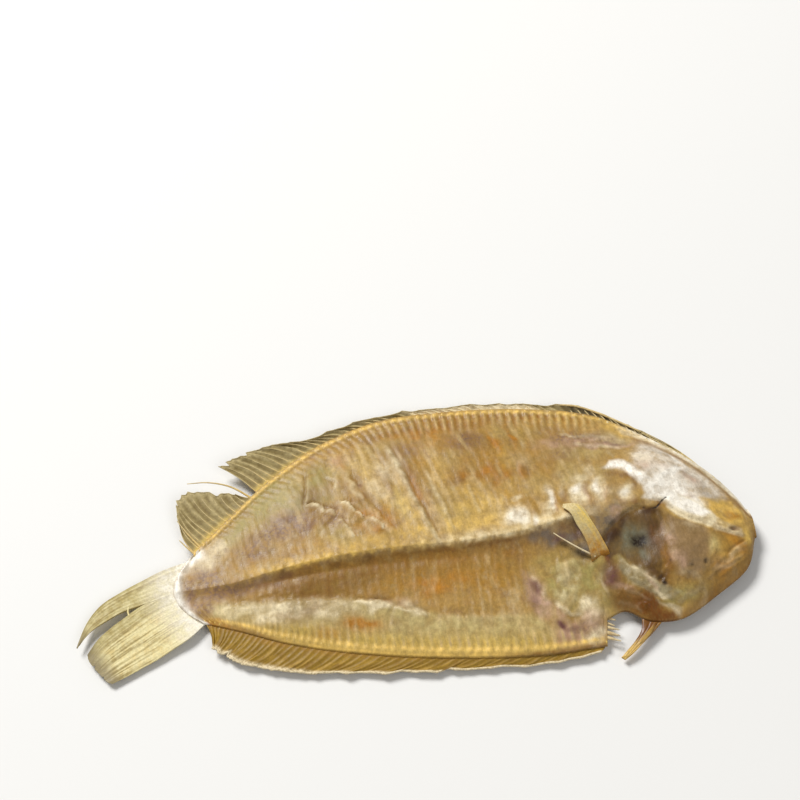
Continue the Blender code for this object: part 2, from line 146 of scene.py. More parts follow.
EYES = [(105, 2.5), (99, -9.5)]  # both lie on the hidden side
EYE_RADIUS, EYE_DEPTH, EYE_SEAT = 4.4, 1.76, 1.2
SOCKET_RADIUS = 1.05 * EYE_RADIUS
EYE_ROWS, EYE_COLUMNS = 12, 32
GILL_SLIT = [(74, 18), (69, 8), (67, -6), (70, -20), (78, -31), (90, -37)]
CHEEK_LINE = [(91, 4), (88, -8), (90, -20), (98, -29)]
MOUTH = [(124, -15), (118, -19), (111, -24)]
SIDE_LINE_AT = -2.5  # how far towards the back the line along the hidden side runs
HIDDEN_RIB_DEPTH, HIDDEN_WRINKLE, HIDDEN_CREASE = 0.3, 0.16, 0.1
HIDDEN_GAP = 0.05  # keeps the hidden side's skin below the rim

# The fins: their first and last ribs, the span of keys that their tips cover, and tears as the
# place, counted in rays, and the share of the fin that is torn away there.
BACK_LOBE_RIBS, BACK_FIN_RIBS, BELLY_FIN_RIBS = (1, 13), (14, 74), (1, 53)
BACK_LOBE_SPAN, BACK_FIN_SPAN, BELLY_FIN_SPAN = (0.05, 1.45), (1.62, 10.2), (0.25, 6.95)
BACK_LOBE_TEARS = [(3.4, 0.12), (8.6, 0.16)]
BACK_FIN_TEARS = [(1.5, 0.16), (4.5, 0.12), (9.4, 0.1), (14.5, 0.12)]
BELLY_FIN_TEARS = [(8.4, 0.16), (33.4, 0.1)]
BACK_FIN_BANDS = {"pale": (23, 36), "dark": (41, 60)}  # the rays between which its skin differs
TAIL_TEARS = [(3.5, 0.02), (8.5, 0.025)]
TEAR_WIDTH = 0.45
# The back fin's two parts: ribs, tips, span, bend of the rays, seed, tears and bands.
BACK_FIN_PARTS = (
    (BACK_LOBE_RIBS, BACK_LOBE_TIPS, BACK_LOBE_SPAN, 0.07, 81, BACK_LOBE_TEARS, {}),
    (BACK_FIN_RIBS, BACK_FIN_TIPS, BACK_FIN_SPAN, -0.05, 82, BACK_FIN_TEARS, BACK_FIN_BANDS),
)
# The tail's two lobes: outer edge, rays, how wide the split opens at its start and further out,
# seed, tears and bands.
TAIL_LOBES = (
    (TAIL_UPPER, 7, (1.4, 1.2), 91, [], {"tint": (-3, 9)}),
    (TAIL_LOWER, 14, (1.3, 1.0), 92, TAIL_TEARS, {"tint": (11, 12)}),
)
BACK_HEM_RADIUS, BELLY_HEM_RADIUS, CORD_RADIUS = 0.2, 0.42, 0.42
TAIL_THICKNESS, CHEST_FIN_THICKNESS = 0.9, 0.6
CHEST_FIN_RAYS, CHEST_FIN_STEPS = 6, 49
FREE_CORD = (10.4, 15.0)  # where the cord along the back fin's free edge starts and ends, in keys
CORD_STEPS = 80
FIN_COLUMNS = 8  # rows of points from one ray to the next
PLEAT_COLUMNS = 3.0  # half the width of the pleat round a ray, in such rows
RAY_STEPS = 25
RAY_INSET = 0.4  # how far inside the fish's edge a ray starts
TIP_SCATTER = (0.3, 0.3, 0.2)
TUBE_END = 0.6  # how far a rod's pointed end stands out, by its radius
# Each ray's rod at the fish's edge: how far in, its share of the bead's radius and its lift.
BEAD_PROFILE = ((1.9, 0.3, -0.1), (1.4, 0.75, 0.1), (0.9, 1.0, 0.15), (0.4, 0.9, 0.0), (-0.1, 0.65, -0.3))
BEAD_DROP = 0.3

# How each half of the skin is closed.
RIM_STEPS, RIM_BULGE = 4, 0.75  # points round the rim, and how far it swells for its height
SNOUT_STEPS = ((0.97, 0.28), (0.9, 0.5))  # the share of the height left and how far out it is
TAIL_WALL_GAP = 0.02  # keeps the corners of the wall at the tail root off the skin's own
SHARP_ANGLE = math.radians(50)

# Relief of the shown side. Keys count the stations above; the rest is in millimetres.
HEAD_GROWS = (7.6, 9.2)  # the body's section turns into the head's between these keys
HEAD_ROUNDNESS, EDGE_TIGHTNESS = 2.2, 6
KNUCKLE_GAP, KNUCKLE_HEIGHT, KNUCKLE_WIDTH, KNUCKLE_SINK = 3.5, 0.3, 1.1, 0.1
RIDGE_HOLLOW, RIDGE_HOLLOW_AT, RIDGE_HOLLOW_WIDTH = 0.45, -3.4, 2.4
RIB_LEAN, RIB_SHARPNESS = 0.042, 1.3
BACK_RIB_REACH, BELLY_RIB_REACH, RIB_REACH_VARIES = 12.0, 10.5, 3
SHORT_RIBS_BEFORE, SHORT_RIB_SHARE = 1.5, 0.75
BELLY_RIB_SHARE = 0.6
BEAD_SEAT, BEAD_SEAT_INSET, BEAD_SEAT_WIDTH = 0.28, 1.5, 1.0
BEAD_GROOVE, BEAD_GROOVE_INSET, BEAD_GROOVE_WIDTH = 0.14, 3.2, 1.2
SEGMENT_GAP, SEGMENT_HEIGHT = 3.3, 0.09
SWELL_HEIGHT, SWELL_SIZE = 0.35, 11
SCAR_KEY, SCAR_WIDTH, SCAR_HEIGHT, SCAR_DROP = 0.06, 0.095, 0.4, 0.5
BELLY_WALL = [(53, -31, 9, 14, 1.0)]
ROUGH_HEAD = [(84, -36, 14, 8, 1.0), (73, -34, 7, 8, 1.0), (108, -29, 10, 8, 0.7), (104, 6, 12, 8, 0.5)]
FOLD_MARGIN = 12  # a fold is worked out this far round its line
LATTICE = 97  # cells of seeded noise before it repeats
LATTICE_SHIFT = 400.5  # keeps every place on the positive side of the noise

# The camera and what lights the fish: metres, except for the camera's place in millimetres.
LENS_SENSOR, LENS_REACH = 36.0, (0.01, 20)
CAMERA_TURN, CAMERA_RISE = math.radians(-11.0), math.radians(58.5)
CAMERA_PLACE = (-45.143, -206.511, 451.638)
KEY_LIGHT_SIZE, KEY_LIGHT_PLACE = 1.0, (-0.9, 1.5, 1.9)
FILL_LIGHT_SIZE, FILL_LIGHT_PLACE = 1.6, (1.3, -1.6, 2.0)
AIR_STRENGTH = 0.27
FLOOR_REACH = 3.0

# Low rounded ridges of bone and fin bases: width, height and the line each follows.
HEAD_BONES = [
    (2.6, 0.5, [(77, 19), (80.7, 15.4), (84.8, 10.6), (88, 6.4), (92, 2.6), (98, -2.6), (106, -9)]),
    (0.7, 0.4, [(63.6, -24.5), (64.1, -27), (65, -29.1), (66.7, -30.9), (69.1, -31.8)]),
    (0.6, 0.5, [(79.5, -38), (82.7, -39.7), (85.9, -41.7), (89.6, -43.3)]),
    (0.5, 0.45, [(82.2, -41.3), (84.1, -43.3), (85.6, -45.2)]),
    (0.6, 0.25, [(104.6, -31), (109.7, -28.2), (114.2, -26.4), (119.4, -25.3)]),
    (0.6, 0.25, [(99.9, -35.6), (106.6, -32.1), (113.2, -29.9), (118.8, -27.4)]),
    (0.5, 0.2, [(104, -36), (110, -33), (115.6, -30.4), (119, -28.6)]),
    (0.7, 0.3, [(98, 24), (103, 18.4), (107.6, 11.6), (112.2, 4.4), (117.2, -2.2)]),
    (0.8, 0.35, [(95, 27), (103, 20.6), (111, 10.4), (117.4, 0.6)]),
    (0.9, 0.35, [(106.8, -18), (107, -23), (105.2, -28.4)]),
]
HEAD_MOUNDS = [  # x, y, radii and height of each rise, or hollow where the height is negative
    (93, 11, 17, 10, 2.6), (97.6, -22, 8.4, 11.6, 1.7), (78.6, -15.8, 8.6, 9.2, -3.0),
    (78.6, -16.4, 5.0, 5.2, 1.3), (80.6, -16.6, 2.4, 2.4, -0.4), (108.6, -24, 3.4, 6, 0.5),
    (68.2, -26.4, 2.6, 4.0, 0.5), (114.4, -9.4, 4.2, 4.6, -0.9), (95.5, -30.2, 0.8, 0.8, -0.6),
    (101.8, -29.8, 0.8, 0.8, -0.6), (84.3, -32.2, 0.9, 0.9, -0.7), (87, -27.7, 0.8, 0.7, -0.4),
    (116.3, -18.5, 1.5, 1.0, -1.0), (96, -38, 7, 3.6, 0.5), (86, -10, 3.4, 3.2, 0.4), (71, -36, 4, 4, 0.5),
    (83, -1, 3.2, 2.4, 0.5), (80, 4.6, 2.2, 3.0, 0.5), (75, 3, 2.0, 4.0, 0.45),
]

# The seam between brow and jaw, which is a fold as well.
SEAM = [
    (86.1, -1.3), (90.1, -2.9), (93, -4.8), (95.6, -8), (98.2, -11), (101, -12.8), (104.4, -14.2),
    (107.6, -16.4), (110.4, -18.3), (114.6, -19.6), (118.4, -21.6), (121, -22.4),
]
# Regions with a clear outline: the line round each, how far its edge is blurred and its strength.
AREAS = {
    # the brow's white bone, brightened as a painted highlight where it catches the light
    "white": [([
        (75.6, 14.2), (78.7, 16.8), (83.5, 15.9), (86.5, 11.6), (88.8, 8.2), (91.3, 6.2), (95, 7.4),
        (99, 9.3), (102.7, 9.9), (104.7, 8.9), (101.4, 6.4), (98.4, 4), (98.6, 0.6), (99.6, -2.8),
        (103, -5.2), (106, -7.6), (107.6, -9.6), (108.6, -11.4), (106.6, -12.4), (103.4, -11.4),
        (100.4, -10.2), (98, -8.4), (95.6, -6.4), (92.9, -3.8), (90.1, -2.7), (86.1, -1.1), (87.2, 0.4),
        (86.9, 3.7), (85.2, 6.9), (83.6, 10.2), (80.6, 12.9),
    ], 1.1, 0.95)],
    "pale": [([
        (-77, -9), (-66, -11), (-58, -12), (-46, -13.6), (-36, -15), (-28, -17), (-14, -21.4), (-4, -26),
        (6, -30), (20, -33.6), (36, -35), (40, -39), (44, -46), (30, -46), (14, -44), (-10, -39),
        (-35, -32), (-53, -25), (-67, -18.6), (-76, -14.4),
    ], 1.6, 0.8)],
    "cream": [([
        (98, -2), (103, -4.4), (106.4, -6.6), (109.4, -10), (110.8, -12.4), (110.6, -15), (108.2, -16.6),
        (106.6, -16.2), (103.6, -14.6), (100, -13), (96.4, -10), (94, -6.4),
    ], 0.9, 0.85), ([
        (109.6, -12), (111.8, -13.4), (114, -15.6), (117, -16.9), (119.4, -19), (119, -21.6),
        (115.4, -20.4), (112.6, -19), (109.2, -18.2), (107.6, -15.6),
    ], 0.8, 0.5)],
    "ash": [([
        (86, 13), (88, 19), (93, 23.6), (98.2, 22.2), (102, 17.6), (106.4, 12.3), (110.3, 8), (114, 3),
        (116.8, -2.7), (117, -6.2), (112, -5.6), (108, -5.4), (106, -9), (99, -4), (93, 1.5), (90, 6.4),
        (88, 9),
    ], 2.2, 0.95)],
    "jaw": [([
        (85, -4.6), (92, -5.2), (97, -9.4), (104, -13.4), (110, -18), (117, -21.6), (121.6, -22.6),
        (119, -30), (110, -36), (97, -43), (88, -47), (78, -46), (70, -39.6), (65, -38), (65.6, -30),
        (67, -22), (68.6, -15), (74, -9.4), (79, -6.4),
    ], 2.4, 0.95)],
    "cheek": [([
        (93, -9.9), (96.4, -9.7), (102, -11.9), (105.5, -15), (106.4, -20.4), (104.5, -25.4),
        (102.4, -29.4), (99, -33), (95.3, -35), (92.1, -31.7), (91.3, -26.6), (91, -21.4), (91.5, -15.6),
    ], 1.8, 0.85)],
    "gill": [([
        (68.5, -20.4), (67.8, -14.6), (70, -11.2), (74, -8.2), (78.6, -5.8), (83, -4.8), (88, -5.2),
        (91, -6.6), (91.6, -9.8), (90, -16.2), (88, -22.2), (86, -27.9), (85.2, -33.4), (81.6, -31.8),
        (77.6, -27.6), (75, -23.4), (72.4, -20.6),
    ], 1.0, 0.95)],
    "haze": [([
        (71.8, -20.6), (74.8, -25.2), (78.1, -26.6), (81.4, -30.9), (84.6, -34.2), (88.4, -37.1),
        (90.4, -38.6), (86, -39.6), (82, -38.4), (77, -34), (73, -30), (70.8, -25.4),
    ], 1.2, 0.85)],
    "orange": [([
        (108.3, -5.4), (114.3, -7.2), (119.2, -9.6), (121.2, -13), (120.6, -16.6), (117.1, -17.2),
        (112.5, -15), (108.6, -12.2), (107.4, -9.3),
    ], 1.0, 0.12)],
    "gold": [([
        (107, -5), (113, -5.6), (118.6, -7.6), (121.6, -12), (121.4, -16.6), (117.1, -17.2), (112.5, -15),
        (108.6, -12.2), (106.6, -9.3),
    ], 1.2, 0.8)],
}
# Folds and torn edges: the line, its width, how deep its groove is, how much higher the skin
# on its left stands (or, below 0, on its right), how dark the painted shade on its low side
# and how light the painted highlight on its raised side are, and how far it wanders.
FOLDS = [
    ([(-0.7, 43.8), (0, 38.2), (2.1, 30.4), (3.6, 23.7), (5.1, 16.5), (7.1, 8.9), (8.4, 2.8), (9.8, -1.4),
      (11, -5)],
     1.5, 0.25, -0.8, 0.8, 0.8, 0.3),
    ([(10.6, 30), (11.4, 24.1), (12.9, 17.6), (14.5, 11.3), (15.8, 3.8), (17, -1)],
     0.7, 0.1, -0.25, 0.2, 0.45, 0.3),
    ([(25.2, 19), (25.8, 14.9), (26.4, 10.1), (27.5, 4.7)], 0.7, 0.1, -0.25, 0.15, 0.5, 0.2),
    ([(-18.6, 37), (-16.6, 27.4), (-14.9, 22.5), (-11.2, 15.1), (-7.5, 8.6), (-4.7, 3.8)],
     1.7, 0.25, -0.55, 0.75, 0.45, 0.6),
    ([(-12.4, 48), (-8.3, 42), (-6, 36.7), (-4.6, 31)], 1.3, 0.2, -0.3, 0.5, 0.3, 0.4),
    ([(-46, 21), (-42, 15), (-40, 9)], 1.2, 0.15, -0.2, 0.2, 0.2, 0.5),
    ([(-34.9, 36.4), (-35.1, 30.4), (-36.6, 24.7), (-37.3, 22.2)], 0.55, 0.3, 0.35, 0.65, 0.3, 0.4),
    ([(-38, 22.2), (-33.8, 22.3), (-30.4, 19.8), (-26.5, 17.2), (-25, 15.4)],
     0.5, 0.4, -0.75, 0.7, 1.0, 0.6),
    ([(-25, 21.4), (-21, 20.4), (-18.3, 17.4), (-15.9, 13.3), (-15, 11)], 0.5, 0.35, -0.7, 0.65, 1.0, 0.6),
    ([(-15, 13.2), (-12.1, 10.7), (-9.7, 8.1), (-8.6, 6.4)], 0.5, 0.3, -0.5, 0.5, 0.9, 0.4),
    ([(-25.6, 15.2), (-22.6, 10.9), (-21, 7.4), (-20.6, 4.2)], 0.5, 0.3, -0.5, 0.5, 0.8, 0.5),
    ([(-27.6, 33), (-25.1, 29.4), (-25, 26)], 0.5, 0.25, 0.4, 0.4, 0.5, 0.4),
    ([(-72, -9.4), (-68, -10.4), (-58.5, -11.4), (-46.6, -12.7), (-38, -14), (-30.3, -15.6), (-23, -17.6)],
     2.0, 0.3, -0.6, 0.35, 0.3, 0.7),
    ([(-26, -17.2), (-20, -18.9), (-14.8, -20.5), (-11.4, -22.6)], 0.8, 0.4, -0.8, 0.5, 1.0, 0.5),
    ([(-11.6, -22.2), (-7.8, -24.1), (-2.9, -26.6), (0.4, -29)], 0.8, 0.4, -0.8, 0.5, 1.0, 0.5),
    ([(0.4, -28), (10, -30.4), (22, -32), (34, -32)], 2.2, 0.15, -0.3, 0.15, 0.1, 0.8),
    ([(43.6, -32), (46.5, -35.9), (49, -39.3), (54.4, -39.6)], 0.7, 0.3, 0.5, 0.45, 0.9, 0.4),
    ([(38, -21), (40.4, -27), (41.6, -34)], 1.2, 0.3, 0.35, 0.3, 0.2, 0.6),
    ([(50, -18), (55, -17.4), (60, -18.6), (63.4, -22.4)], 1.2, 0.3, -0.3, 0.3, 0.2, 0.5),
    ([(62, 33.4), (69, 30.6), (76, 29), (82, 28)], 0.7, 0.2, 0.25, 0.25, 0.6, 0.5),
    ([(66, 27.6), (73.5, 24.8), (80, 23.4), (86, 20.4)], 0.7, 0.2, 0.25, 0.3, 0.5, 0.5),
    (SEAM, 0.9, 0.2, 0.8, 0.45, 0.5, 0.15),
    ([(104.6, -12.9), (107.6, -14.6), (110, -15.9), (113, -17.4)], 0.5, 0.25, 0.2, 0.6, 0.3, 0.15),
    ([(88.1, -33), (94.6, -33.9), (97.2, -37), (97, -41.2), (94.3, -42.9)], 1.5, 0.2, 0.3, 0.35, 0.2, 0.5),
    ([(68, -21.6), (67.2, -18), (68, -14.2), (70.4, -11), (74.3, -8.2), (78.7, -5.8), (82.7, -4.9),
      (86.4, -4.8)],
     1.5, 0.4, 1.1, 0.7, 0.05, 0.3),
    ([(82.6, -4.7), (85.4, -4.8), (88.6, -5.6), (90.2, -5.4), (93.1, -3.4), (97.2, -1.4)],
     0.5, 0.4, 0.0, 1.0, 0.0, 0.35),
    ([(88.6, -6), (89.8, -9.6), (89.6, -13), (89.2, -17)], 1.0, 0.2, 0.0, 0.6, 0.0, 0.3),
    ([(90.6, -15.6), (89.7, -21.4), (90, -26.6), (91, -31.7), (95.3, -35), (99, -33)],
     1.2, 0.15, 0.25, 0.35, 0.08, 0.3),
    ([(73, -21), (75.1, -24.6), (78.1, -27), (81.6, -31.4), (85, -34.6)], 0.6, 0.3, -0.6, 0.6, 0.5, 0.3),
    ([(71.6, -26), (73, -29.8), (76.6, -33.4), (80.6, -37.1), (85, -39.6)], 0.7, 0.3, 0.4, 0.45, 0.25, 0.3),
    ([(110, -28.2), (115, -24.9), (120.2, -22.8)], 0.6, 0.3, -0.2, 0.4, 0.2, 0.2),
    ([(101, -33.6), (104.6, -29), (106.4, -24.4)], 1.0, 0.15, 0.2, 0.3, 0.08, 0.3),
    ([(88, -43.4), (92, -41), (96.4, -40), (100, -38)], 1.2, 0.15, 0.3, 0.22, 0.2, 0.4),
    ([(70, -34), (74.4, -36), (78.4, -40)], 0.6, 0.3, 0.2, 0.5, 0.12, 0.4),
    ([(67, -37), (71, -39), (75.6, -43)], 0.5, 0.25, 0.2, 0.4, 0.12, 0.4),
]
LEVEL_FADES = 5.0  # how far from a torn edge its step has sunk back into the skin

# Soft patches of colour: x, y, half length, half width, turn in degrees and strength.
SHOWN_PATCHES = {
    "amber": [
        # (-8, -14) and (24, -17) darken the flank under the ridge as painted shade; the rest are the skin's
        # own amber
        (-8, -14, 24, 8, -6, 0.7), (24, -17, 22, 9, -3, 0.7), (46, -16, 10, 6, 0, 0.4),
        (34, 26, 16, 10, -4, 0.7), (50, 22, 10, 12, 0, 0.6), (22, 10, 9, 8, 0, 0.3),
        (-44, -7, 16, 3, 3, 0.5), (-12, 12, 6, 9, 14, 0.6), (58, 36, 14, 5, -14, 0.6),
        (112, -27, 9, 7, 30, 0.8), (98, -40, 14, 5, 20, 0.7), (116, -22, 6, 4, -20, 0.6),
        (80, 8, 6, 4, -20, 0.7), (66, 20, 8, 8, 0, 0.6), (87, -20, 3, 9, 6, 0.8), (-50, 4, 10, 3, 6, 0.3),
        (-36, 30, 12, 6, 30, 0.3), (8, 24, 5, 14, 10, 0.5), (12, 12, 6, 7, 0, 0.6),
        (78, 18, 8, 5, -20, 0.6), (86, -30, 4, 5, -20, 0.6),
    ],
    "olive": [
        (-48, 27, 15, 7.5, 38, 1.0), (-63, 18, 9, 5, 40, 0.8), (-30, 33, 9, 6, 20, 0.7),
        (-40, 24, 8, 5, 30, 0.7), (-14, 35, 7, 6, 0, 0.4), (50, -26, 10, 13, 0, 0.8),
        (58, -24, 8, 10, 0, 0.9), (58, -36, 8, 8, 0, 0.7), (46, 38, 14, 4, -8, 0.3), (12, 13, 8, 9, 0, 0.3),
        (-26, 8, 7, 4, -30, 0.4), (90, -39.6, 9, 4, 10, 0.8), (64, -33, 5, 6, 0, 0.7),
        (77, -30, 5, 4, -40, 0.5), (-34, -11, 16, 5, 3, 0.3), (-30, 24, 8, 4, 0, 0.5),
        (-30, -32, 26, 4, -16, 0.4), (73, -22.6, 2, 4, 30, 0.7),
    ],
    "purple": [
        (-43, 15, 11, 5.5, 8, 0.9), (-27, 14, 6, 5, 0, 0.6), (-58, 8, 8, 5, 20, 0.6),
        (-52, 14, 6, 4, 20, 0.7), (-84, -4, 4, 6, 0, 0.7), (-76, 1, 7, 6, 0, 0.75), (-72, -5, 9, 4, 0, 0.8),
        (-79, -9, 5, 4, 0, 0.7), (-62, -5, 8, 3, 4, 0.5), (68, 31, 10, 3.5, -12, 0.75),
        (78, 27, 7, 3, -18, 0.6), (66, 30.6, 10, 3.4, -4, 0.4), (80, 27.6, 8, 3, -18, 0.35),
        (61.4, 24, 6, 3, 0, 0.4), (60, 36, 6, 3, -10, 0.35), (5, 38, 8, 4, 0, 0.5),
        (27, 38.4, 8, 4, -4, 0.7), (-34, 25, 5, 3, 0, 0.4), (-24, 26, 6, 4, 0, 0.3),
        (38, -27, 3, 9, 8, 0.5), (52, -44, 8, 4.5, 0, 0.6), (97, -25, 5, 5, 0, 0.3),
        (47, -42, 6, 4, 0, 0.5),
    ],
    "pale": [
        (-1, 15, 3.6, 8, 8, 0.6), (16, 6, 12, 4, 0, 0.35), (30, 6, 6, 5, 0, 0.4), (-24, 6, 6, 3, 10, 0.3),
        (106.6, -24, 3, 4.2, 0, 0.85), (70, 24, 12, 5, -14, 0.5), (63, 15, 7, 7, 0, 0.5),
        (75, 12, 5, 6, 0, 0.4), (50, 12, 8, 5, 0, 0.35), (-40, 30, 8, 4, 30, 0.3), (20, 30, 5, 4, 0, 0.3),
        (-5, 42, 10, 3, 0, 0.35), (84, 27, 6, 3, -20, 0.4),
    ],
    "brown": [
        # (6.4, 14) and (2, 30) lie along the long fold as painted shade; the rest are the skin's own brown
        (6.4, 14, 2.6, 16, 12, 0.7), (2, 30, 2.4, 8, 6, 0.5), (-5, 26, 2.2, 9, 10, 0.4),
        (-15, 20, 3, 4, 10, 0.4), (19, 21, 5, 3, 0, 0.4), (24, 21, 2.6, 2.4, 0, 0.4),
        (30, 20, 2.4, 3, 0, 0.4), (36, 19, 2.4, 3, 0, 0.4), (46, 20, 2, 4, 0, 0.4), (28, 38, 8, 4, 0, 0.5),
        (70, -34, 6, 4, -30, 0.7), (36, 34, 6, 4, 0, 0.35), (-4, 47, 18, 2.2, 2, 0.35),
        (22, 46, 16, 2.6, -3, 0.5), (92, -10.6, 5, 2, -30, 0.5), (107, -33, 8, 4, 34, 0.3),
        (76, 8, 2, 6, 0, 0.35), (68, -28, 5, 6, 0, 0.4), (88.6, -16, 1.8, 8, 0, 0.8),
        (88.2, -25, 2.4, 7, -6, 0.9), (79, -41.6, 7, 3, -28, 0.8), (75, -36.6, 5, 2.4, -30, 0.6),
        (68, 28, 10, 2.4, -6, 0.5), (57, 30, 5, 5, 0, 0.15), (77.6, 11.2, 3, 1.6, -6, 0.7),
        (81.6, 9.4, 2.6, 1.6, -40, 0.8), (84.4, 5.2, 1.5, 3, 10, 0.8), (83.6, -1, 2, 1.6, 0, 0.7),
        (58.9, 6, 1.6, 4, 0, 0.4), (67.4, 6, 1.3, 4.4, 0, 0.5), (75.3, 4.5, 1.4, 4, 0, 0.5),
        (109.4, -14.9, 2.4, 0.8, -32, 0.5), (70.5, -23.6, 3, 3, 0, 0.3),
    ],
    # dark gill skin, and painted shade along the step of the gill opening and at the foot of the ridge (x
    # -49 to -18)
    "deep": [
        (68.6, -17, 2.6, 6.4, 8, 0.95), (71.6, -12, 4.6, 2.8, 46, 1.0), (76.6, -8.2, 4.4, 2.2, 26, 0.9),
        (86, -14, 2.6, 7, 0, 0.6), (88, -6.8, 3.4, 1.6, -10, 0.8), (82, -26.4, 4, 2.4, -50, 0.6),
        (85.4, -31.6, 2.6, 1.8, -40, 0.8), (64.4, -22.6, 2, 2, 0, 0.5), (84.6, -16, 1.8, 4, 0, 0.7),
        (-49, -4, 3.4, 2.4, 0, 0.45), (-18, -4, 2.8, 2, 0, 0.4), (-30, -4, 3, 1.6, 0, 0.3),
        (-40, -5, 5, 2, 0, 0.25), (85.4, -18, 2.2, 7, 0, 0.45), (60, -16.6, 2.4, 1.8, 0, 0.4),
        (76, -38.4, 6, 2.4, -28, 0.35), (116.4, -18.5, 1.5, 0.8, -14, 0.6), (86, -40, 4, 2.4, -20, 0.18),
    ],
    "rust": [
        (78, -40, 6.4, 3.2, -30, 1.0), (81.6, -44.4, 6.4, 2.8, -16, 1.0), (70, -37.6, 5, 2.4, -10, 0.5),
        (84.6, -45.6, 5, 2, 4, 0.6), (67.4, -20.4, 1.6, 2.2, 0, 0.6), (85.6, -15, 1.8, 4.4, 0, 0.4),
        (116.4, -18.6, 1.9, 1.1, -14, 0.45),
    ],
    "orange": [
        (-24.4, -27.8, 8, 3.2, -10, 0.95), (3, -19, 9, 3.6, -4, 0.75), (14, -18, 8, 3, -4, 0.5),
        (-36, -29, 8, 3, -12, 0.4), (13, 44, 8, 4, -2, 0.6), (38.4, 35.6, 1.8, 6.4, 8, 0.85),
        (45.4, 36.2, 1.6, 5, 6, 0.8), (-1, 45, 6, 3, 0, 0.4), (-10, 12, 6, 3.4, -50, 0.7),
        (-14, 7, 8, 4, 0, 0.45), (31.9, 21, 3.4, 3, 0, 0.8), (38, 19.4, 3.2, 3, 0, 0.85),
        (24.4, 22.6, 3, 2.4, 0, 0.6), (44.8, 20.7, 1.8, 4, 0, 0.7), (6.6, 17, 2, 12, 14, 0.45),
        (118.2, -13, 3.2, 2.4, -50, 0.8), (116.1, -18.7, 1.5, 0.8, -14, 1.0), (116, -25, 4, 3, -30, 0.6),
        (109, -31, 6, 3, 44, 0.5), (-76, -16.6, 6, 1.6, -12, 0.8), (98, 27, 6, 1.6, -44, 0.4),
        (-21.6, 36, 2, 4, 10, 0.4), (-17, 13.6, 2, 3, 20, 0.5), (87, -20, 1.4, 6, 4, 0.4),
    ],
    "gold": [
        (16, 1.8, 24, 3.8, -3, 0.75), (-14, 2.4, 18, 3, 1, 0.45), (24, 9, 14, 7, 0, 0.5),
        (15, 20, 4, 12, 8, 0.3), (-8, 14, 5, 10, 8, 0.3), (-12, 31, 6, 6, 0, 0.4), (1, 12, 3, 12, 10, 0.4),
        (120.6, -21, 2.2, 3, 0, 0.8), (112, -27, 5, 5, 30, 0.25), (66, 40, 12, 3, -14, 0.5),
        (84, 33, 8, 3, -38, 0.5), (40, 24, 3, 10, 0, 0.3), (86, -43.4, 8, 1.6, -10, 0.5),
        (111, -6, 3, 1.4, -40, 0.7), (104, -14, 8, 0.9, -32, 0.6), (96.6, -9, 4, 0.9, -46, 0.6),
        (113.4, -17, 4, 2.0, -30, 0.95),
    ],
    "cream": [
        # (-16, -22) and (-5, -26) are painted highlights on the lit edge of the belly's step, and the ones
        # from x 38 to 81 with y between -2 and 8 are painted glints on the glossy skin; the rest are the
        # skin's own cream
        (-68, -13.6, 8, 3, -12, 0.35), (-49, -17.4, 10, 3, -10, 0.8), (-57, -18.6, 9, 2.4, -22, 0.6),
        (-76, 8, 6, 4, 30, 0.6), (-71, 12, 5, 3.4, 40, 0.6), (-34, -20.6, 10, 2.6, -8, 0.55),
        (-16, -22, 5, 1.8, -12, 1.0), (-5, -26, 4.4, 1.4, -34, 0.6), (38, 0.2, 5.6, 4.0, 0, 1.0),
        (46.2, -1.4, 2.2, 2.8, 0, 0.95), (51.8, 2.4, 2.2, 6, -8, 1.0), (64, 5.4, 2.8, 5, -10, 1.0),
        (71.4, 6, 2.6, 6, 0, 0.9), (40.4, 7.8, 1.8, 1.4, 0, 0.6), (76, 2.6, 1.6, 4, 0, 0.4),
        (58.4, 9, 2, 3.4, 0, 0.4), (65, 12, 3, 2.4, 0, 0.5), (70.6, 14, 2, 3, 0, 0.5),
        (81, 3.2, 3.4, 2.6, -20, 0.95), (-4, 31, 5, 5, 0, 0.5), (-10, 23, 4, 5, 0, 0.35),
        (52, -24.6, 4, 6, 6, 0.3), (56.6, -35.8, 3.6, 3.2, 20, 1.0), (57, -46.6, 4, 2.4, 0, 0.8),
        (50, -31, 4, 3, 0, 0.3), (84.6, -41, 4, 0.7, -36, 0.6), (86.8, -43, 2.4, 1.0, -40, 0.7),
        (92, 28.6, 6, 1.4, -38, 0.7), (90, 16, 6, 3, -20, 0.2), (99, 25, 8, 1.4, -42, 0.8),
        (108.6, 14.6, 8, 1.2, -50, 0.7), (117.6, 1, 7, 1.2, -58, 0.8), (111.6, -28.2, 7, 1.2, 22, 0.2),
        (109, -31.6, 8, 1.2, 22, 0.2), (64.6, -29, 0.8, 3.4, 20, 0.3), (76.4, -27.4, 2.4, 0.7, -50, 0.6),
        (84.4, -37.2, 2.6, 0.7, -44, 0.6), (46, 24.6, 5, 4, 0, 0.22), (82, 27, 7, 3, -24, 0.3),
        (99, -14.4, 5, 2.4, -20, 0.2), (58, -40, 4, 3, 0, 0.4),
    ],
    "white": [
        # those from x 38 to 81 with y between -2 and 8 are painted glints on the glossy skin, those on the
        # head white bone brightened as a painted highlight; the rest are the skin's own colour
        (100.6, 1.6, 5.6, 3.4, -40, 0.9), (97, 5.4, 5, 3, -20, 0.7), (97.6, 9, 4, 3, -20, 0.5),
        (106, -4.6, 3, 2, -40, 0.5), (38.6, 0.6, 4.4, 3.0, 0, 0.6), (46, -1.6, 1.4, 2, 0, 0.6),
        (64.2, 7, 1.8, 2.2, 0, 0.7), (-86, 7, 4.4, 3.4, 20, 1.0), (-80.4, 9, 4.4, 2.4, 30, 0.9),
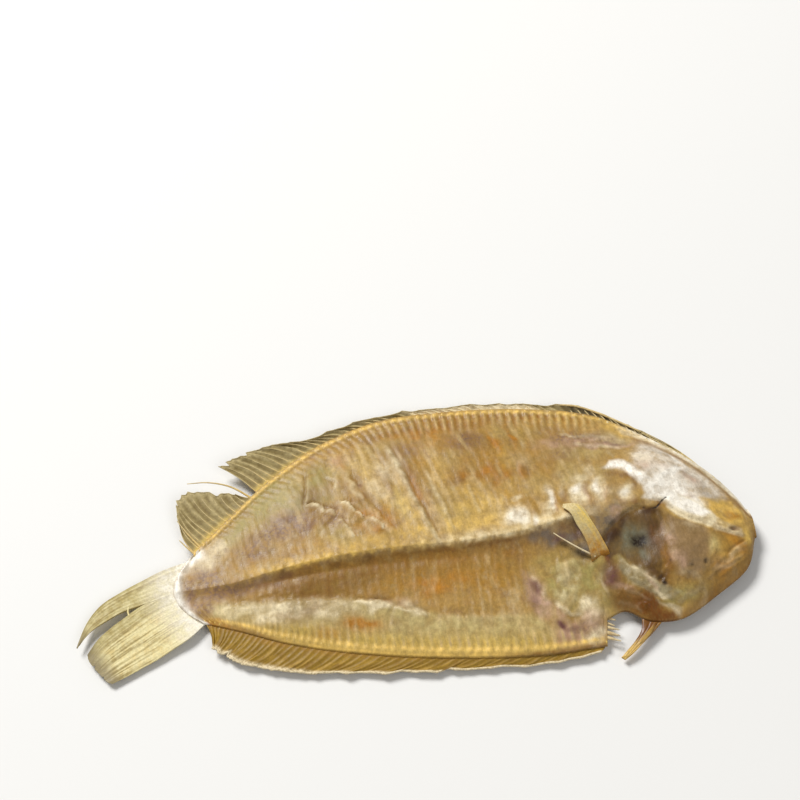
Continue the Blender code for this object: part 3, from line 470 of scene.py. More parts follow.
        (109, 4, 5, 1.0, -50, 0.5), (104, 12.4, 7, 0.8, -48, 0.6), (-85, -12.6, 2, 2, 0, 0.6),
        (52.6, 5, 1.4, 4, -6, 0.7), (70.8, 6.4, 1.2, 3.4, 0, 0.6), (81, 2.8, 2.2, 1.4, -20, 0.6),
        (90.4, 4.6, 3, 3, 0, 0.55),
    ],
    "grey": [
        (69.6, -6.4, 4.6, 4, 20, 1.0), (75.4, -3.4, 6, 2.6, 20, 0.7), (51.6, -8.6, 6.6, 3.2, 6, 0.9),
        (57.6, -9.4, 4, 4, 0, 1.0), (45, -6.6, 4, 2.2, 0, 0.6), (61, -7.6, 4, 5, 0, 0.9),
        (59, -14.4, 3.4, 2.6, 0, 0.7), (66, -2.4, 4, 3, 0, 0.5), (104, 7.6, 6, 1.6, -48, 0.35),
        (98, 17.4, 6, 1.4, -46, 0.3), (110, -1, 5, 1.6, -54, 0.3), (101, -2, 3, 1, -40, 0.25),
        (-41, 25, 12, 7, 30, 0.16), (0, 25, 9, 7, 0, 0.14), (13, 13, 7, 7, 0, 0.15),
        (-62.5, -13.6, 6, 3, -10, 0.16),
    ],
    "pink": [
        (40.6, -31, 3.6, 7.6, 8, 0.8), (46, -36.4, 3, 4, 0, 0.4), (48.6, -44.6, 6, 4, 0, 0.8),
        (57, -43, 5, 5, 0, 0.8), (76, 25.4, 9, 1.4, -14, 0.8), (72, 29.6, 8, 1.4, -12, 0.7),
        (86, 23.4, 5, 1.4, 4, 0.7), (62, 29, 8, 3, -10, 0.4), (70, -31.6, 3.4, 1.4, -30, 0.4),
        (-12, -22, 7, 2.2, -18, 0.3), (-50, -19.6, 6, 2, -8, 0.35), (-20, 38, 5, 3, 0, 0.3),
        (-42, -19, 4, 2, 0, 0.5), (98, 10, 5, 1.6, -44, 0.4), (90, 12, 4, 2, 0, 0.4),
        (75.1, -4.3, 3.4, 1.6, 20, 0.6), (90.4, -19, 1.6, 6, 6, 0.5), (92.4, -27, 3, 3.6, 0, 0.5),
        (102.5, -1.2, 3.4, 1.8, -30, 0.5), (106.3, 4.2, 3.6, 1.8, -50, 0.45),
        (80, -32.6, 4, 1.6, -50, 0.45), (54, 2, 1.2, 4, 0, 0.5), (66.6, 4.6, 1.2, 4, 0, 0.5),
        (73, 3.6, 1.2, 4, 0, 0.5), (-84, -9, 3, 3, 0, 0.3),
    ],
    # wine stains, and at (-52, -4.8) and (-66, -6) painted shade under the ridge
    "wine": [
        (45.6, -40.6, 2.6, 1.6, -20, 0.95), (67.6, -26, 3.0, 4.4, 6, 1.0), (40.4, -26.6, 1.6, 2.6, 0, 0.8),
        (38.4, -31, 1.6, 2, 0, 0.4), (-44, 17, 2.6, 2, 0, 0.5), (-36, 13, 3, 2, 20, 0.4),
        (49.4, -42.6, 2.4, 1.2, 0, 0.5), (-82, -5, 2, 2, 0, 0.3), (77, 30, 3, 1, -10, 0.5),
        (82, 25, 4, 1, -6, 0.5), (60.6, -8.6, 2.6, 3.4, 0, 0.6), (53, -9, 3, 2, 0, 0.5),
        (-52, -4.8, 9, 2.2, 4, 0.35), (-66, -6, 8, 2, 4, 0.25),
    ],
    "blue": [(78.2, -15.8, 4.8, 5.4, 0, 1.0), (80.6, -22, 2, 2.4, 0, 0.6)],
    "ink": [
        (80.8, -17.4, 2.5, 2.9, 0, 1.0), (79.4, -14.4, 1.4, 1.4, 0, 0.3), (96.8, -30, 0.7, 0.6, 0, 0.7),
        (103, -29.4, 0.6, 0.9, 20, 0.7), (85.6, -32.6, 1.2, 0.7, -20, 0.8), (89, -26.8, 0.7, 0.6, 0, 0.5),
        (116.1, -18.9, 0.9, 0.4, -14, 0.4), (54.6, -12.2, 2.6, 1.2, -10, 0.6), (59, -15, 2.4, 1.4, 0, 0.6),
        (70.4, -12.6, 3, 1.2, 46, 0.2),
    ],
}


def key_curve(keys, at, corners=()):
    """The smooth curve through the keys, read where at counts keys; it is sharp at a corner."""
    keys = np.array(keys, float)
    steps = np.diff(keys, axis=0)
    leaving = np.vstack([steps[0], (steps[1:] + steps[:-1]) / 2, steps[-1]])
    arriving = leaving.copy()
    for corner in corners:
        arriving[corner], leaving[corner] = steps[corner - 1], steps[corner]
    at = np.clip(np.asarray(at, float), 0, len(keys) - 1)
    first = np.minimum(at.astype(int), len(keys) - 2)
    f = (at - first)[..., None]
    return (
        (2 * f**3 - 3 * f**2 + 1) * keys[first]
        + (f**3 - 2 * f**2 + f) * leaving[first]
        + (3 * f**2 - 2 * f**3) * keys[first + 1]
        + (f**3 - f**2) * arriving[first + 1]
    )


def smooth_step(low, high, value):
    """Rises smoothly from 0 at low to 1 at high; it falls where low is the larger one."""
    share = np.clip((value - low) / (high - low), 0, 1)
    return share * share * (3 - 2 * share)


def hump(offset, width):
    """A soft bump: 1 where the offset is 0 and next to nothing two widths away."""
    return np.exp(-((offset / width) ** 2))


def lumps(x, y, size, seed):
    """Smooth seeded noise from -1 to 1, whose lumps are about this many millimetres wide."""
    lattice = np.random.default_rng(seed).uniform(-1, 1, (LATTICE, LATTICE))
    u, v = np.asarray(x) / size + LATTICE_SHIFT, np.asarray(y) / size + LATTICE_SHIFT
    i, j = np.floor(u).astype(int), np.floor(v).astype(int)
    f, g = u - i, v - j
    f, g = f * f * (3 - 2 * f), g * g * (3 - 2 * g)
    i, j, after_i, after_j = i % LATTICE, j % LATTICE, (i + 1) % LATTICE, (j + 1) % LATTICE
    low = lattice[i, j] * (1 - f) + lattice[after_i, j] * f
    high = lattice[i, after_j] * (1 - f) + lattice[after_i, after_j] * f
    return low * (1 - g) + high * g


def segment_offset(x, y, start, end):
    """Distance to a straight piece of line, how far along it the nearest place is and its run."""
    dx, dy = end[0] - start[0], end[1] - start[1]
    along = np.clip(((x - start[0]) * dx + (y - start[1]) * dy) / (dx * dx + dy * dy), 0, 1)
    return np.hypot(x - start[0] - along * dx, y - start[1] - along * dy), along, (dx, dy)


def line_offset(x, y, points):
    """Distance to an open line, which side it is on (1 left, -1 right) and the share along it."""
    nearest, side, share = np.full(np.shape(x), 1e9), np.ones(np.shape(x)), np.zeros(np.shape(x))
    points = key_curve([(*p, 0) for p in points], np.linspace(0, len(points) - 1, 4 * len(points)))
    pieces = list(zip(points[:-1], points[1:]))
    for i, (start, end) in enumerate(pieces):
        far, along, (dx, dy) = segment_offset(x, y, start, end)
        closer = far < nearest
        nearest = np.where(closer, far, nearest)
        side = np.where(closer, np.sign(dx * (y - start[1]) - dy * (x - start[0])), side)
        share = np.where(closer, (i + along) / len(pieces), share)
    return nearest, side, share


def rib_count(key):
    """How many edge ribs lie between the tail root and this place, counted in keys."""
    fine = np.linspace(0, LAST_KEY, 600)
    back = key_curve(BACK_EDGE, fine)[:, :2]
    steps = np.hypot(*np.diff(back, axis=0).T)
    arc = np.concatenate([[0], np.cumsum(steps)])
    gap = RIB_GAP_TAIL + (RIB_GAP_MID - RIB_GAP_TAIL) * smooth_step(0, RIB_GAP_GROWS_OVER, arc)
    count = np.concatenate([[0], np.cumsum(steps / gap[1:])])
    return np.interp(key, fine, count)


def key_of_rib(number):
    """The place of a rib, in keys, from its number counted from the tail root."""
    fine = np.linspace(0, LAST_KEY, 3000)
    return np.interp(number, rib_count(fine), fine)


def rib_roots(edge_keys, numbers):
    """Where numbered ribs meet the fish's edge, and the way from there towards the ridge."""
    keys = key_of_rib(numbers)
    edge, ridge = key_curve(edge_keys, keys), key_curve(RIDGE, keys)
    inward = ridge[:, :2] - edge[:, :2]
    inward /= np.hypot(*inward.T)[:, None]
    return keys, edge, inward


def fall_profile(keys, out):
    """The share of the ridge's height left at this share of the way out, without corners."""
    at = np.linspace(0, 1.2, 601)
    level = np.interp(at, *zip(*keys))
    kernel = np.exp(-(np.linspace(-2, 2, 31) ** 2))
    padded = np.concatenate([2 * level[0] - level[15:0:-1], level, np.full(15, level[-1])])
    softened = np.convolve(padded, kernel / kernel.sum(), mode="valid")
    return np.interp(out, at, softened)


def skin_place(key, row):
    """Where a point of the skin lies, as a dictionary of arrays in millimetres."""
    back, ridge = key_curve(BACK_EDGE, key), key_curve(RIDGE, key)
    belly = key_curve(BELLY_EDGE, key, corners=(CUT_START, CUT_TOP))
    edge = np.where((row >= 0)[..., None], back, belly)
    out = np.abs(row)
    bow = 1 - smooth_step(0, 1.2, key)
    reach = (edge - ridge)[..., :2]
    width = np.hypot(reach[..., 0], reach[..., 1])
    return {
        "key": key, "out": out,
        "x": ridge[..., 0] + reach[..., 0] * out ** (1 + bow),
        "y": ridge[..., 1] + reach[..., 1] * out,
        "outward": reach / width[..., None],
        "ridge_z": ridge[..., 2], "edge_z": edge[..., 2], "rim_z": edge[..., 2] - EDGE_THICKNESS / 2,
        "across": width * row, "inset": width * (1 - out),
        "back": row >= 0,
    }


def rib_wave(place):
    """The edge ribs: 1 on a rib's crest and 0 in the gap, and how strong the ribs are here."""
    back, key = place["back"], place["key"]
    leaning = RIB_LEAN * place["inset"] * smooth_step(5.5, 2, key) * smooth_step(0, 1, key)
    count = rib_count(key - np.where(back, leaning, 0))
    wave = (0.5 + 0.5 * np.cos(2 * math.pi * count)) ** RIB_SHARPNESS
    uneven = lumps(place["x"], place["y"] * 0.3, 5, 3)
    reach = np.where(back, BACK_RIB_REACH, BELLY_RIB_REACH) + RIB_REACH_VARIES * uneven
    reach = reach * np.where(key < SHORT_RIBS_BEFORE, SHORT_RIB_SHARE, 1)
    strength = 1 - smooth_step(0.35, 1, place["inset"] / reach)
    faint = 0.4 + 0.6 * smooth_step(3.0, 5.0, key)
    ends = np.where(back, faint * smooth_step(9.5, 8.0, key), key < CUT_START)
    return wave, strength * ends


def mounds(x, y, marks):
    """Soft rises and hollows added up: x, y, both radii and the height of each."""
    total = np.zeros(np.shape(x))
    for mx, my, rx, ry, height in marks:
        total += height * np.exp(-(((x - mx) / rx) ** 2) - ((y - my) / ry) ** 2)
    return total


def fold_relief(x, y, depth_share):
    """Folds and torn edges: the height they add, the painted shade on their low sides and the painted
    highlight on their raised sides.
    """
    height, dark, light = (np.zeros(np.shape(x)) for _ in range(3))
    for points, width, groove, lift, darkness, lightness, wander in FOLDS:
        px, py = zip(*points)
        near = (x > min(px) - FOLD_MARGIN) & (x < max(px) + FOLD_MARGIN)
        near &= (y > min(py) - FOLD_MARGIN) & (y < max(py) + FOLD_MARGIN)
        nx, ny = x[near], y[near]
        jog = wander * (lumps(nx, ny, 2.4, 11) + 0.5 * lumps(nx, ny, 1.0, 12))
        far, side, share = line_offset(nx + jog, ny + jog, points)
        ends = smooth_step(0, 0.14, share) * smooth_step(1, 0.86, share)
        raised = side * np.sign(lift or 1) > 0
        cut = hump(far, width) * ends
        step = abs(lift) * raised * np.exp(-far / LEVEL_FADES) * smooth_step(0, 1.3 * width, far) * ends
        height[near] += depth_share * (step - groove * cut)
        # dark is painted shade on a fold's low side, light a painted highlight on its raised lip
        low = hump(far, np.where(raised, 0.3 + 0.3 * width, 0.4 + 1.3 * width))
        high = raised * hump(far - 0.4 - 0.8 * width, 0.45 + 0.35 * width)
        patchy = 0.8 + 0.35 * lumps(nx, ny, 1.8, 13)
        dark[near] = np.maximum(dark[near], darkness * low * ends * patchy)
        light[near] = np.maximum(light[near], lightness * high * ends * patchy)
    return height, dark, light


def shown_height(place, sizes):
    """Height of the shown side's skin, with the masks of painted shade in its grooves and painted highlight
    on its lips.
    """
    x, y, key, out = (place[name] for name in ("x", "y", "key", "out"))
    inset, across, back = place["inset"], place["across"], place["back"]
    head = smooth_step(*HEAD_GROWS, key)
    body = 1 - head
    tight = 1 - out**EDGE_TIGHTNESS  # relief dies away where the skin is drawn over its edge
    fall = np.where(back, fall_profile(BACK_FALL, out), fall_profile(BELLY_FALL, out))
    fall = body * fall + head * (1 - out**HEAD_ROUNDNESS)
    z = place["edge_z"] + (place["ridge_z"] - place["edge_z"]) * fall
    # The head's bones and hollows.
    bones = mounds(x, y, HEAD_MOUNDS)
    for width, height, points in HEAD_BONES:
        far, _, share = line_offset(x, y, points)
        ends = smooth_step(0, 0.15, share) * smooth_step(1, 0.85, share)
        bones += height * hump(far, width) * (0.35 + 0.65 * ends)
    z = z + bones * smooth_step(58, 70, x) * tight
    # The backbone shows as knuckles along the ridge, with a hollow under it.
    knuckle = 0.5 + 0.5 * np.cos(2 * math.pi * x / KNUCKLE_GAP)
    z = z + body * (KNUCKLE_HEIGHT * knuckle - KNUCKLE_SINK) * hump(across, KNUCKLE_WIDTH)
    hollow = hump(across - RIDGE_HOLLOW_AT, RIDGE_HOLLOW_WIDTH)
    z = z - body * RIDGE_HOLLOW * hollow * smooth_step(0, 1.5, key)
    # Ribs and the seats of the beads that the fin rays stand on.
    wave, strength = rib_wave(place)
    side_share = np.where(back, 1, BELLY_RIB_SHARE)
    z = z + sizes.rib_depth * side_share * (wave - 0.45) * strength * smooth_step(0.4, 1.8, inset)
    seat = hump(inset - BEAD_SEAT_INSET, BEAD_SEAT_WIDTH)
    z = z + BEAD_SEAT * side_share * wave * (strength > 0.2) * seat
    z = z - BEAD_GROOVE * hump(inset - BEAD_GROOVE_INSET, BEAD_GROOVE_WIDTH) * body
    # Muscle segments, wrinkles, and the lumpy belly wall and head.
    flank = body * smooth_step(1, 4, np.abs(across)) * smooth_step(6, 11, inset)
    lean = np.where(back, 0.2, -0.1)
    segments = np.cos(2 * math.pi * (x + lean * y + 0.8 * lumps(x, y, 7, 21)) / SEGMENT_GAP)
    z = z + flank * SEGMENT_HEIGHT * segments * (0.5 + 0.5 * lumps(x, y, 9, 22))
    wrinkles = lumps(x, y * 0.45, 2.6, 31) + 0.6 * lumps(x * 0.8, y * 0.5, 1.1, 32)
    z = z + sizes.wrinkle_depth * wrinkles * (1 - out**8)
    z = z + SWELL_HEIGHT * lumps(x, y, SWELL_SIZE, 33) * (1 - out**4)
    belly = mounds(x, y, BELLY_WALL)
    z = z + belly * (0.7 * lumps(x, y, 4.4, 41) + 0.35 * lumps(x, y, 1.9, 42))
    rough = mounds(x, y, ROUGH_HEAD)
    z = z + rough * (0.4 * lumps(x, y, 3.0, 43) + 0.28 * lumps(x, y, 1.3, 44)) * tight
    # the folds also give the masks of their painted shade and painted highlight
    fold, dark, light = fold_relief(x, y, sizes.fold_depth)
    z = z + fold * tight
    # The raised rim of the round scar that the tail fin leaves from.
    scar = hump(key - SCAR_KEY, SCAR_WIDTH)
    z = z + SCAR_HEIGHT * scar * tight - SCAR_DROP * (1 - smooth_step(0, 0.04, key)) * (1 - out**8)
    return z, {"dark": dark, "light": light, "scar": scar, "wave": wave, "ribs": strength}


def patch_mask(x, y, marks):
    """The strongest of some soft oval patches at each point."""
    total = np.zeros(np.shape(x))
    for mx, my, length, width, turn, strength in marks:
        c, s = math.cos(math.radians(turn)), math.sin(math.radians(turn))
        u, v = (x - mx) * c + (y - my) * s, (y - my) * c - (x - mx) * s
        total = np.maximum(total, strength * np.exp(-(((u / length) ** 2 + (v / width) ** 2) ** 1.4)))
    return total


def area_mask(x, y, outline, soft, strength):
    """Full strength inside a closed outline, fading over this far on both sides of its line."""
    x, y = x + 0.5 * lumps(x, y, 2.6, 61), y + 0.5 * lumps(x, y, 2.6, 62)
    closed = outline + outline[:1]
    inside = np.zeros(np.shape(x), bool)
    for (ax, ay), (bx, by) in zip(closed[:-1], closed[1:]):
        if ay != by:
            inside ^= ((ay > y) != (by > y)) & (x < ax + (y - ay) / (by - ay) * (bx - ax))
    far = np.min([segment_offset(x, y, *pair)[0] for pair in zip(closed[:-1], closed[1:])], axis=0)
    return strength * smooth_step(-soft, soft, np.where(inside, far, -far))


def deepen(masks, name, amount):
    """Raises a mask to this amount wherever it is lower."""
    masks[name] = np.maximum(masks[name], amount)


def mask_ribs(masks, place, relief):
    """Dark gaps between the edge ribs, their pale crests and the golden beads at their ends."""
    x, y, key = place["x"], place["y"], place["key"]
    inset, back = place["inset"], place["back"]
    wave, strength = relief["wave"], relief["ribs"]
    uneven = 0.5 + 0.5 * lumps(x, y, 6, 53)
    gap = (1 - wave) ** 1.6 * smooth_step(1.4, 2.6, inset)
    near = hump(inset - 2.9, 1.7) * (strength > 0) * (0.35 + 0.65 * uneven)
    masks["rib_gap"] = gap * np.where(back, 0.54 * strength + 0.25 * near, 0.28 * strength)
    masks["rib_gap"] *= np.where(back, smooth_step(2.4, 5.4, key) * 0.9 + 0.1, smooth_step(0.6, 2.0, key))
    masks["rib_pale"] = strength**0.7 * wave**3 * smooth_step(1.6, 3.5, inset) * (0.2 + 0.75 * uneven)
    bead = hump(inset - np.where(back, 1.0, 2.0), np.where(back, 0.8, 0.9))
    bead = bead * smooth_step(11.4, 9.6, key) * smooth_step(0.1, 0.8, key)
    masks["bead"] = bead * (np.where(back, 0.5, 0.45) + 0.5 * wave) * (back | (key < CUT_START))


def mask_ridge(masks, place):
    """The golden crest of the ridge with a painted highlight on it, the painted shade under it and the
    amber flank below that, partly its own colour and partly painted shade.
    """
    x, y, key, across = (place[name] for name in ("x", "y", "key", "across"))
    body = 1 - smooth_step(*HEAD_GROWS, key)
    nodules = 0.75 + 0.4 * lumps(x, y, 2.4, 58)
    ragged = across + 0.55 * lumps(x, y, 1.9, 54) + 0.35 * lumps(x, y, 0.9, 57)
    crest = hump(ragged, np.where(ragged > 0, 3.2, 0.9)) * smooth_step(0.6, 2.2, key) * body
    deepen(masks, "gold", 0.75 * crest * nodules)
    # cream along the crest towards the head is a painted highlight
    deepen(masks, "cream", 0.62 * crest * smooth_step(-10, 26, x))
    ends = smooth_step(0.8, 2.6, key) * smooth_step(8.2, 7.2, key)
    # painted shadow at the crest's foot and painted shade over the flank below it
    foot = hump(ragged + 2.2, 1.1) * ends * smooth_step(-30, 10, x) * smooth_step(50, 38, x)
    wide = 4.8 + 6.0 * smooth_step(-8, -36, x)
    shade = hump(ragged + 0.85 * wide, wide) * ends * smooth_step(0.3, -1.8, ragged)
    deepen(masks, "brown", np.maximum(0.75 * foot, (0.5 + 0.16 * smooth_step(0, -40, x)) * shade))
    # amber below the ridge: partly the flank's own colour, partly painted shade
    below = smooth_step(-1, -3, across) * smooth_step(-20, -12, across) * ends * smooth_step(40, 6, x)
    deepen(masks, "amber", 0.9 * below)


def mask_flanks(masks, place):
    """Streaks that run down the flanks, pale and dark, and the yellow band along the belly."""
    x, y, key, inset, back = (place[name] for name in ("x", "y", "key", "inset", "back"))
    body = 1 - smooth_step(*HEAD_GROWS, key)
    flank = body * smooth_step(3, 7, np.abs(place["across"])) * smooth_step(4, 9, inset)
    flank = flank * smooth_step(1.5, 3, key)
    lean = x + np.where(back, 0.24, -0.08) * y
    streak = lumps(lean, y * 0.16, 2.3, 55) + 0.5 * lumps(lean, y * 0.3, 1.1, 56)
    side_share = np.where(back, 1, 0.5 * smooth_step(-14, 10, x) + 0.1)
    deepen(masks, "rib_pale", 0.6 * side_share * flank * smooth_step(0.2, 0.9, streak))
    deepen(masks, "amber", 0.6 * side_share * flank * smooth_step(-0.2, -0.9, streak))
    yellow = hump(inset - 3.4, 3.2) * smooth_step(0.9, 2.4, key) * smooth_step(7.2, 5.6, key)
    masks["yellow"] = np.where(back, 0, 0.95 * yellow)


def mask_edges(masks, place, relief):
    """The scar at the tail root, the painted shade beside folds, the head's pale rim and the belly's hem,
    which is gold brightened as painted light in the middle and a brown painted shadow line elsewhere.
    """
    x, key, inset, back = (place[name] for name in ("x", "key", "inset", "back"))
    deepen(masks, "white", relief["scar"])
    # painted shade beside each fold, in brown, and a painted highlight along its raised lip
    deepen(masks, "brown", relief["dark"])
    masks["lip_highlight"] = relief["light"]
    masks["rim"] = hump(inset, 2.1) * smooth_step(9.2, 10.4, key) * back
    inside = 0.6 * hump(inset - 3.8, 1.2) * smooth_step(9.6, 10.6, key) * back
    under = hump(inset, 3.5) * smooth_step(8.6, 9.4, key) * ~back
    # the belly's hem lies in shade: its own gold is painted brighter as light in the middle, and elsewhere
    # it is a brown painted shadow line
    hem = hump(inset, 0.8) * smooth_step(0.6, 1.6, key) * (key < CUT_START) * ~back
    golden = smooth_step(-66, -44, x) * smooth_step(36, 16, x)
    deepen(masks, "gold", 0.95 * hem * golden)
    deepen(masks, "brown", np.maximum(inside, np.maximum(0.5 * under, 0.6 * hem * (1 - golden))))
    # where a fold's painted shade is deepest on the head it turns to ink: painted shade in the crease
    deepen(masks, "ink", smooth_step(0.75, 1.0, relief["dark"]) * smooth_step(7, 8, key))


def shown_masks(place, relief):
    """Every mask that the shown side's finish reads, from 0 to 1 at each point."""
    x, y = place["x"], place["y"]
    stray_x, stray_y = x + 1.6 * lumps(x, y, 4.5, 51), y + 1.6 * lumps(x, y, 4.5, 52)
    masks = {name: patch_mask(stray_x, stray_y, marks) for name, marks in SHOWN_PATCHES.items()}
    for name, areas in AREAS.items():
        masks.setdefault(name, np.zeros(x.shape))
        for area in areas:
            deepen(masks, name, area_mask(x, y, *area))
    mask_ribs(masks, place, relief)
    mask_ridge(masks, place)
    mask_flanks(masks, place)
    mask_edges(masks, place, relief)
    return {name: np.clip(mask, 0, 1) for name, mask in masks.items()}


class Shape:
    """The points, faces and masks of one piece, gathered bit by bit, in millimetres."""

    def __init__(self):
        self.points, self.faces, self.masks = [], [], {}
        self.count = 0

    def add(self, points, faces, **masks):
        """Adds a body with its faces counted from 0; a mask is a number or one for each point."""
        points = np.asarray(points, float).reshape(-1, 3)
        for name, mask in masks.items():
            stored = self.masks.setdefault(name, [])
            missing = self.count - sum(len(part) for part in stored)
            stored.append(np.zeros(missing))
            stored.append(np.broadcast_to(np.asarray(mask, float), (len(points),)).copy())
        self.points.append(points)
        self.faces += [tuple(int(corner) + self.count for corner in face) for face in faces]
        self.count += len(points)

    def build(self, name, material):
        """Makes the object, rides it on the fish and lets it stand for the solid."""
        points = np.concatenate(self.points)
        points[:, 0] -= CENTRE[0]
        points[:, 1] -= CENTRE[1]
        mesh = bpy.data.meshes.new(name)
        mesh.from_pydata((points * MM).tolist(), [], self.faces)
        for mask, parts in self.masks.items():
            values = np.concatenate(parts + [np.zeros(self.count - sum(map(len, parts)))])
            layer = mesh.attributes.new(mask, "FLOAT", "POINT")
            layer.data.foreach_set("value", values.astype(np.float32))
        mesh.shade_smooth()
        mesh.set_sharp_from_angle(angle=SHARP_ANGLE)
        mesh.materials.append(material)
        made = bpy.data.objects.new(name, mesh)
        bpy.context.scene.collection.objects.link(made)
        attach(made, BODY)
        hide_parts(NODE)
        return made


def grid_faces(rows, columns, first=0, turned=False):
    """Quads of a grid of points stored row by row."""
    corner = first + np.arange(rows * columns).reshape(rows, columns)
    quads = np.stack([corner[:-1, :-1], corner[:-1, 1:], corner[1:, 1:], corner[1:, :-1]], axis=-1)
    quads = quads.reshape(-1, 4)
    return quads[:, ::-1] if turned else quads


def add_plate(shape, middle, thickness, **masks):
    """A closed thin plate about a grid of middle points, with a thickness at each."""
    down, along = np.gradient(middle, axis=0), np.gradient(middle, axis=1)
    normal = np.cross(along, down)
    normal /= np.maximum(np.linalg.norm(normal, axis=2, keepdims=True), 1e-9)
    normal *= np.where(normal[..., 2:].mean() < 0, -1, 1)
    half = normal * np.asarray(thickness)[..., None] / 2
    rows, columns = middle.shape[:2]
    count = rows * columns
    points = np.concatenate([(middle + half).reshape(-1, 3), (middle - half).reshape(-1, 3)])
    faces = [*grid_faces(rows, columns, turned=True), *grid_faces(rows, columns, count)]
    corner = np.arange(count).reshape(rows, columns)
    rim = np.concatenate([corner[0, :-1], corner[:-1, -1], corner[-1, :0:-1], corner[:0:-1, 0]])
    for a, b in zip(rim, np.roll(rim, -1)):
        faces.append((a, b, b + count, a + count))
    # The faces point out where the grid's own turn agrees with the side that counts as its top.
    centre = rows // 2, columns // 2
    turns_up = np.cross(along[centre], down[centre])[2] > 0
    if turns_up == (normal[centre][2] > 0):
        faces = [tuple(face)[::-1] for face in faces]
    doubled = {
        name: np.tile(np.broadcast_to(mask, (rows, columns)).ravel(), 2) for name, mask in masks.items()
    }
    shape.add(points, faces, **doubled)


def add_tube(shape, path, radii, sides=8, **masks):
    """A closed round rod along a path, with a radius at each of its points."""
    path = np.asarray(path, float)
    radii = np.broadcast_to(np.asarray(radii, float), (len(path),))
    ahead = np.gradient(path, axis=0)
    ahead /= np.maximum(np.linalg.norm(ahead, axis=1, keepdims=True), 1e-9)
    side = np.cross(ahead, (0, 0, 1))
    side /= np.maximum(np.linalg.norm(side, axis=1, keepdims=True), 1e-9)
    over = np.cross(side, ahead)
    turn = np.linspace(0, 2 * math.pi, sides, endpoint=False)
    ring = np.cos(turn)[None, :, None] * side[:, None] + np.sin(turn)[None, :, None] * over[:, None]
    points = (path[:, None] + ring * radii[:, None, None]).reshape(-1, 3)
    tips = path[0] - ahead[0] * radii[0] * TUBE_END, path[-1] + ahead[-1] * radii[-1] * TUBE_END
    points = np.vstack([points, *tips])
    faces = []
    for i in range(len(path) - 1):
        for j in range(sides):
            a, b = i * sides + j, i * sides + (j + 1) % sides
            faces.append((a, b, b + sides, a + sides))
    last = (len(path) - 1) * sides
    for j in range(sides):
        following = (j + 1) % sides
        faces.append((following, j, len(points) - 2))
        faces.append((last + j, last + following, len(points) - 1))
    spread = {}
    for name, mask in masks.items():
        mask = np.broadcast_to(np.asarray(mask, float), (len(path),))
        spread[name] = np.concatenate([np.repeat(mask, sides), mask[[0, -1]]])
    shape.add(points, [face[::-1] for face in faces], **spread)


def screen_colour(value):
    """A colour as it looks on a screen, as the shader wants it: linear and with its opacity."""
    linear = [c / 12.92 if c <= 0.04045 else ((c + 0.055) / 1.055) ** 2.4 for c in value]
    return (*linear, 1.0)


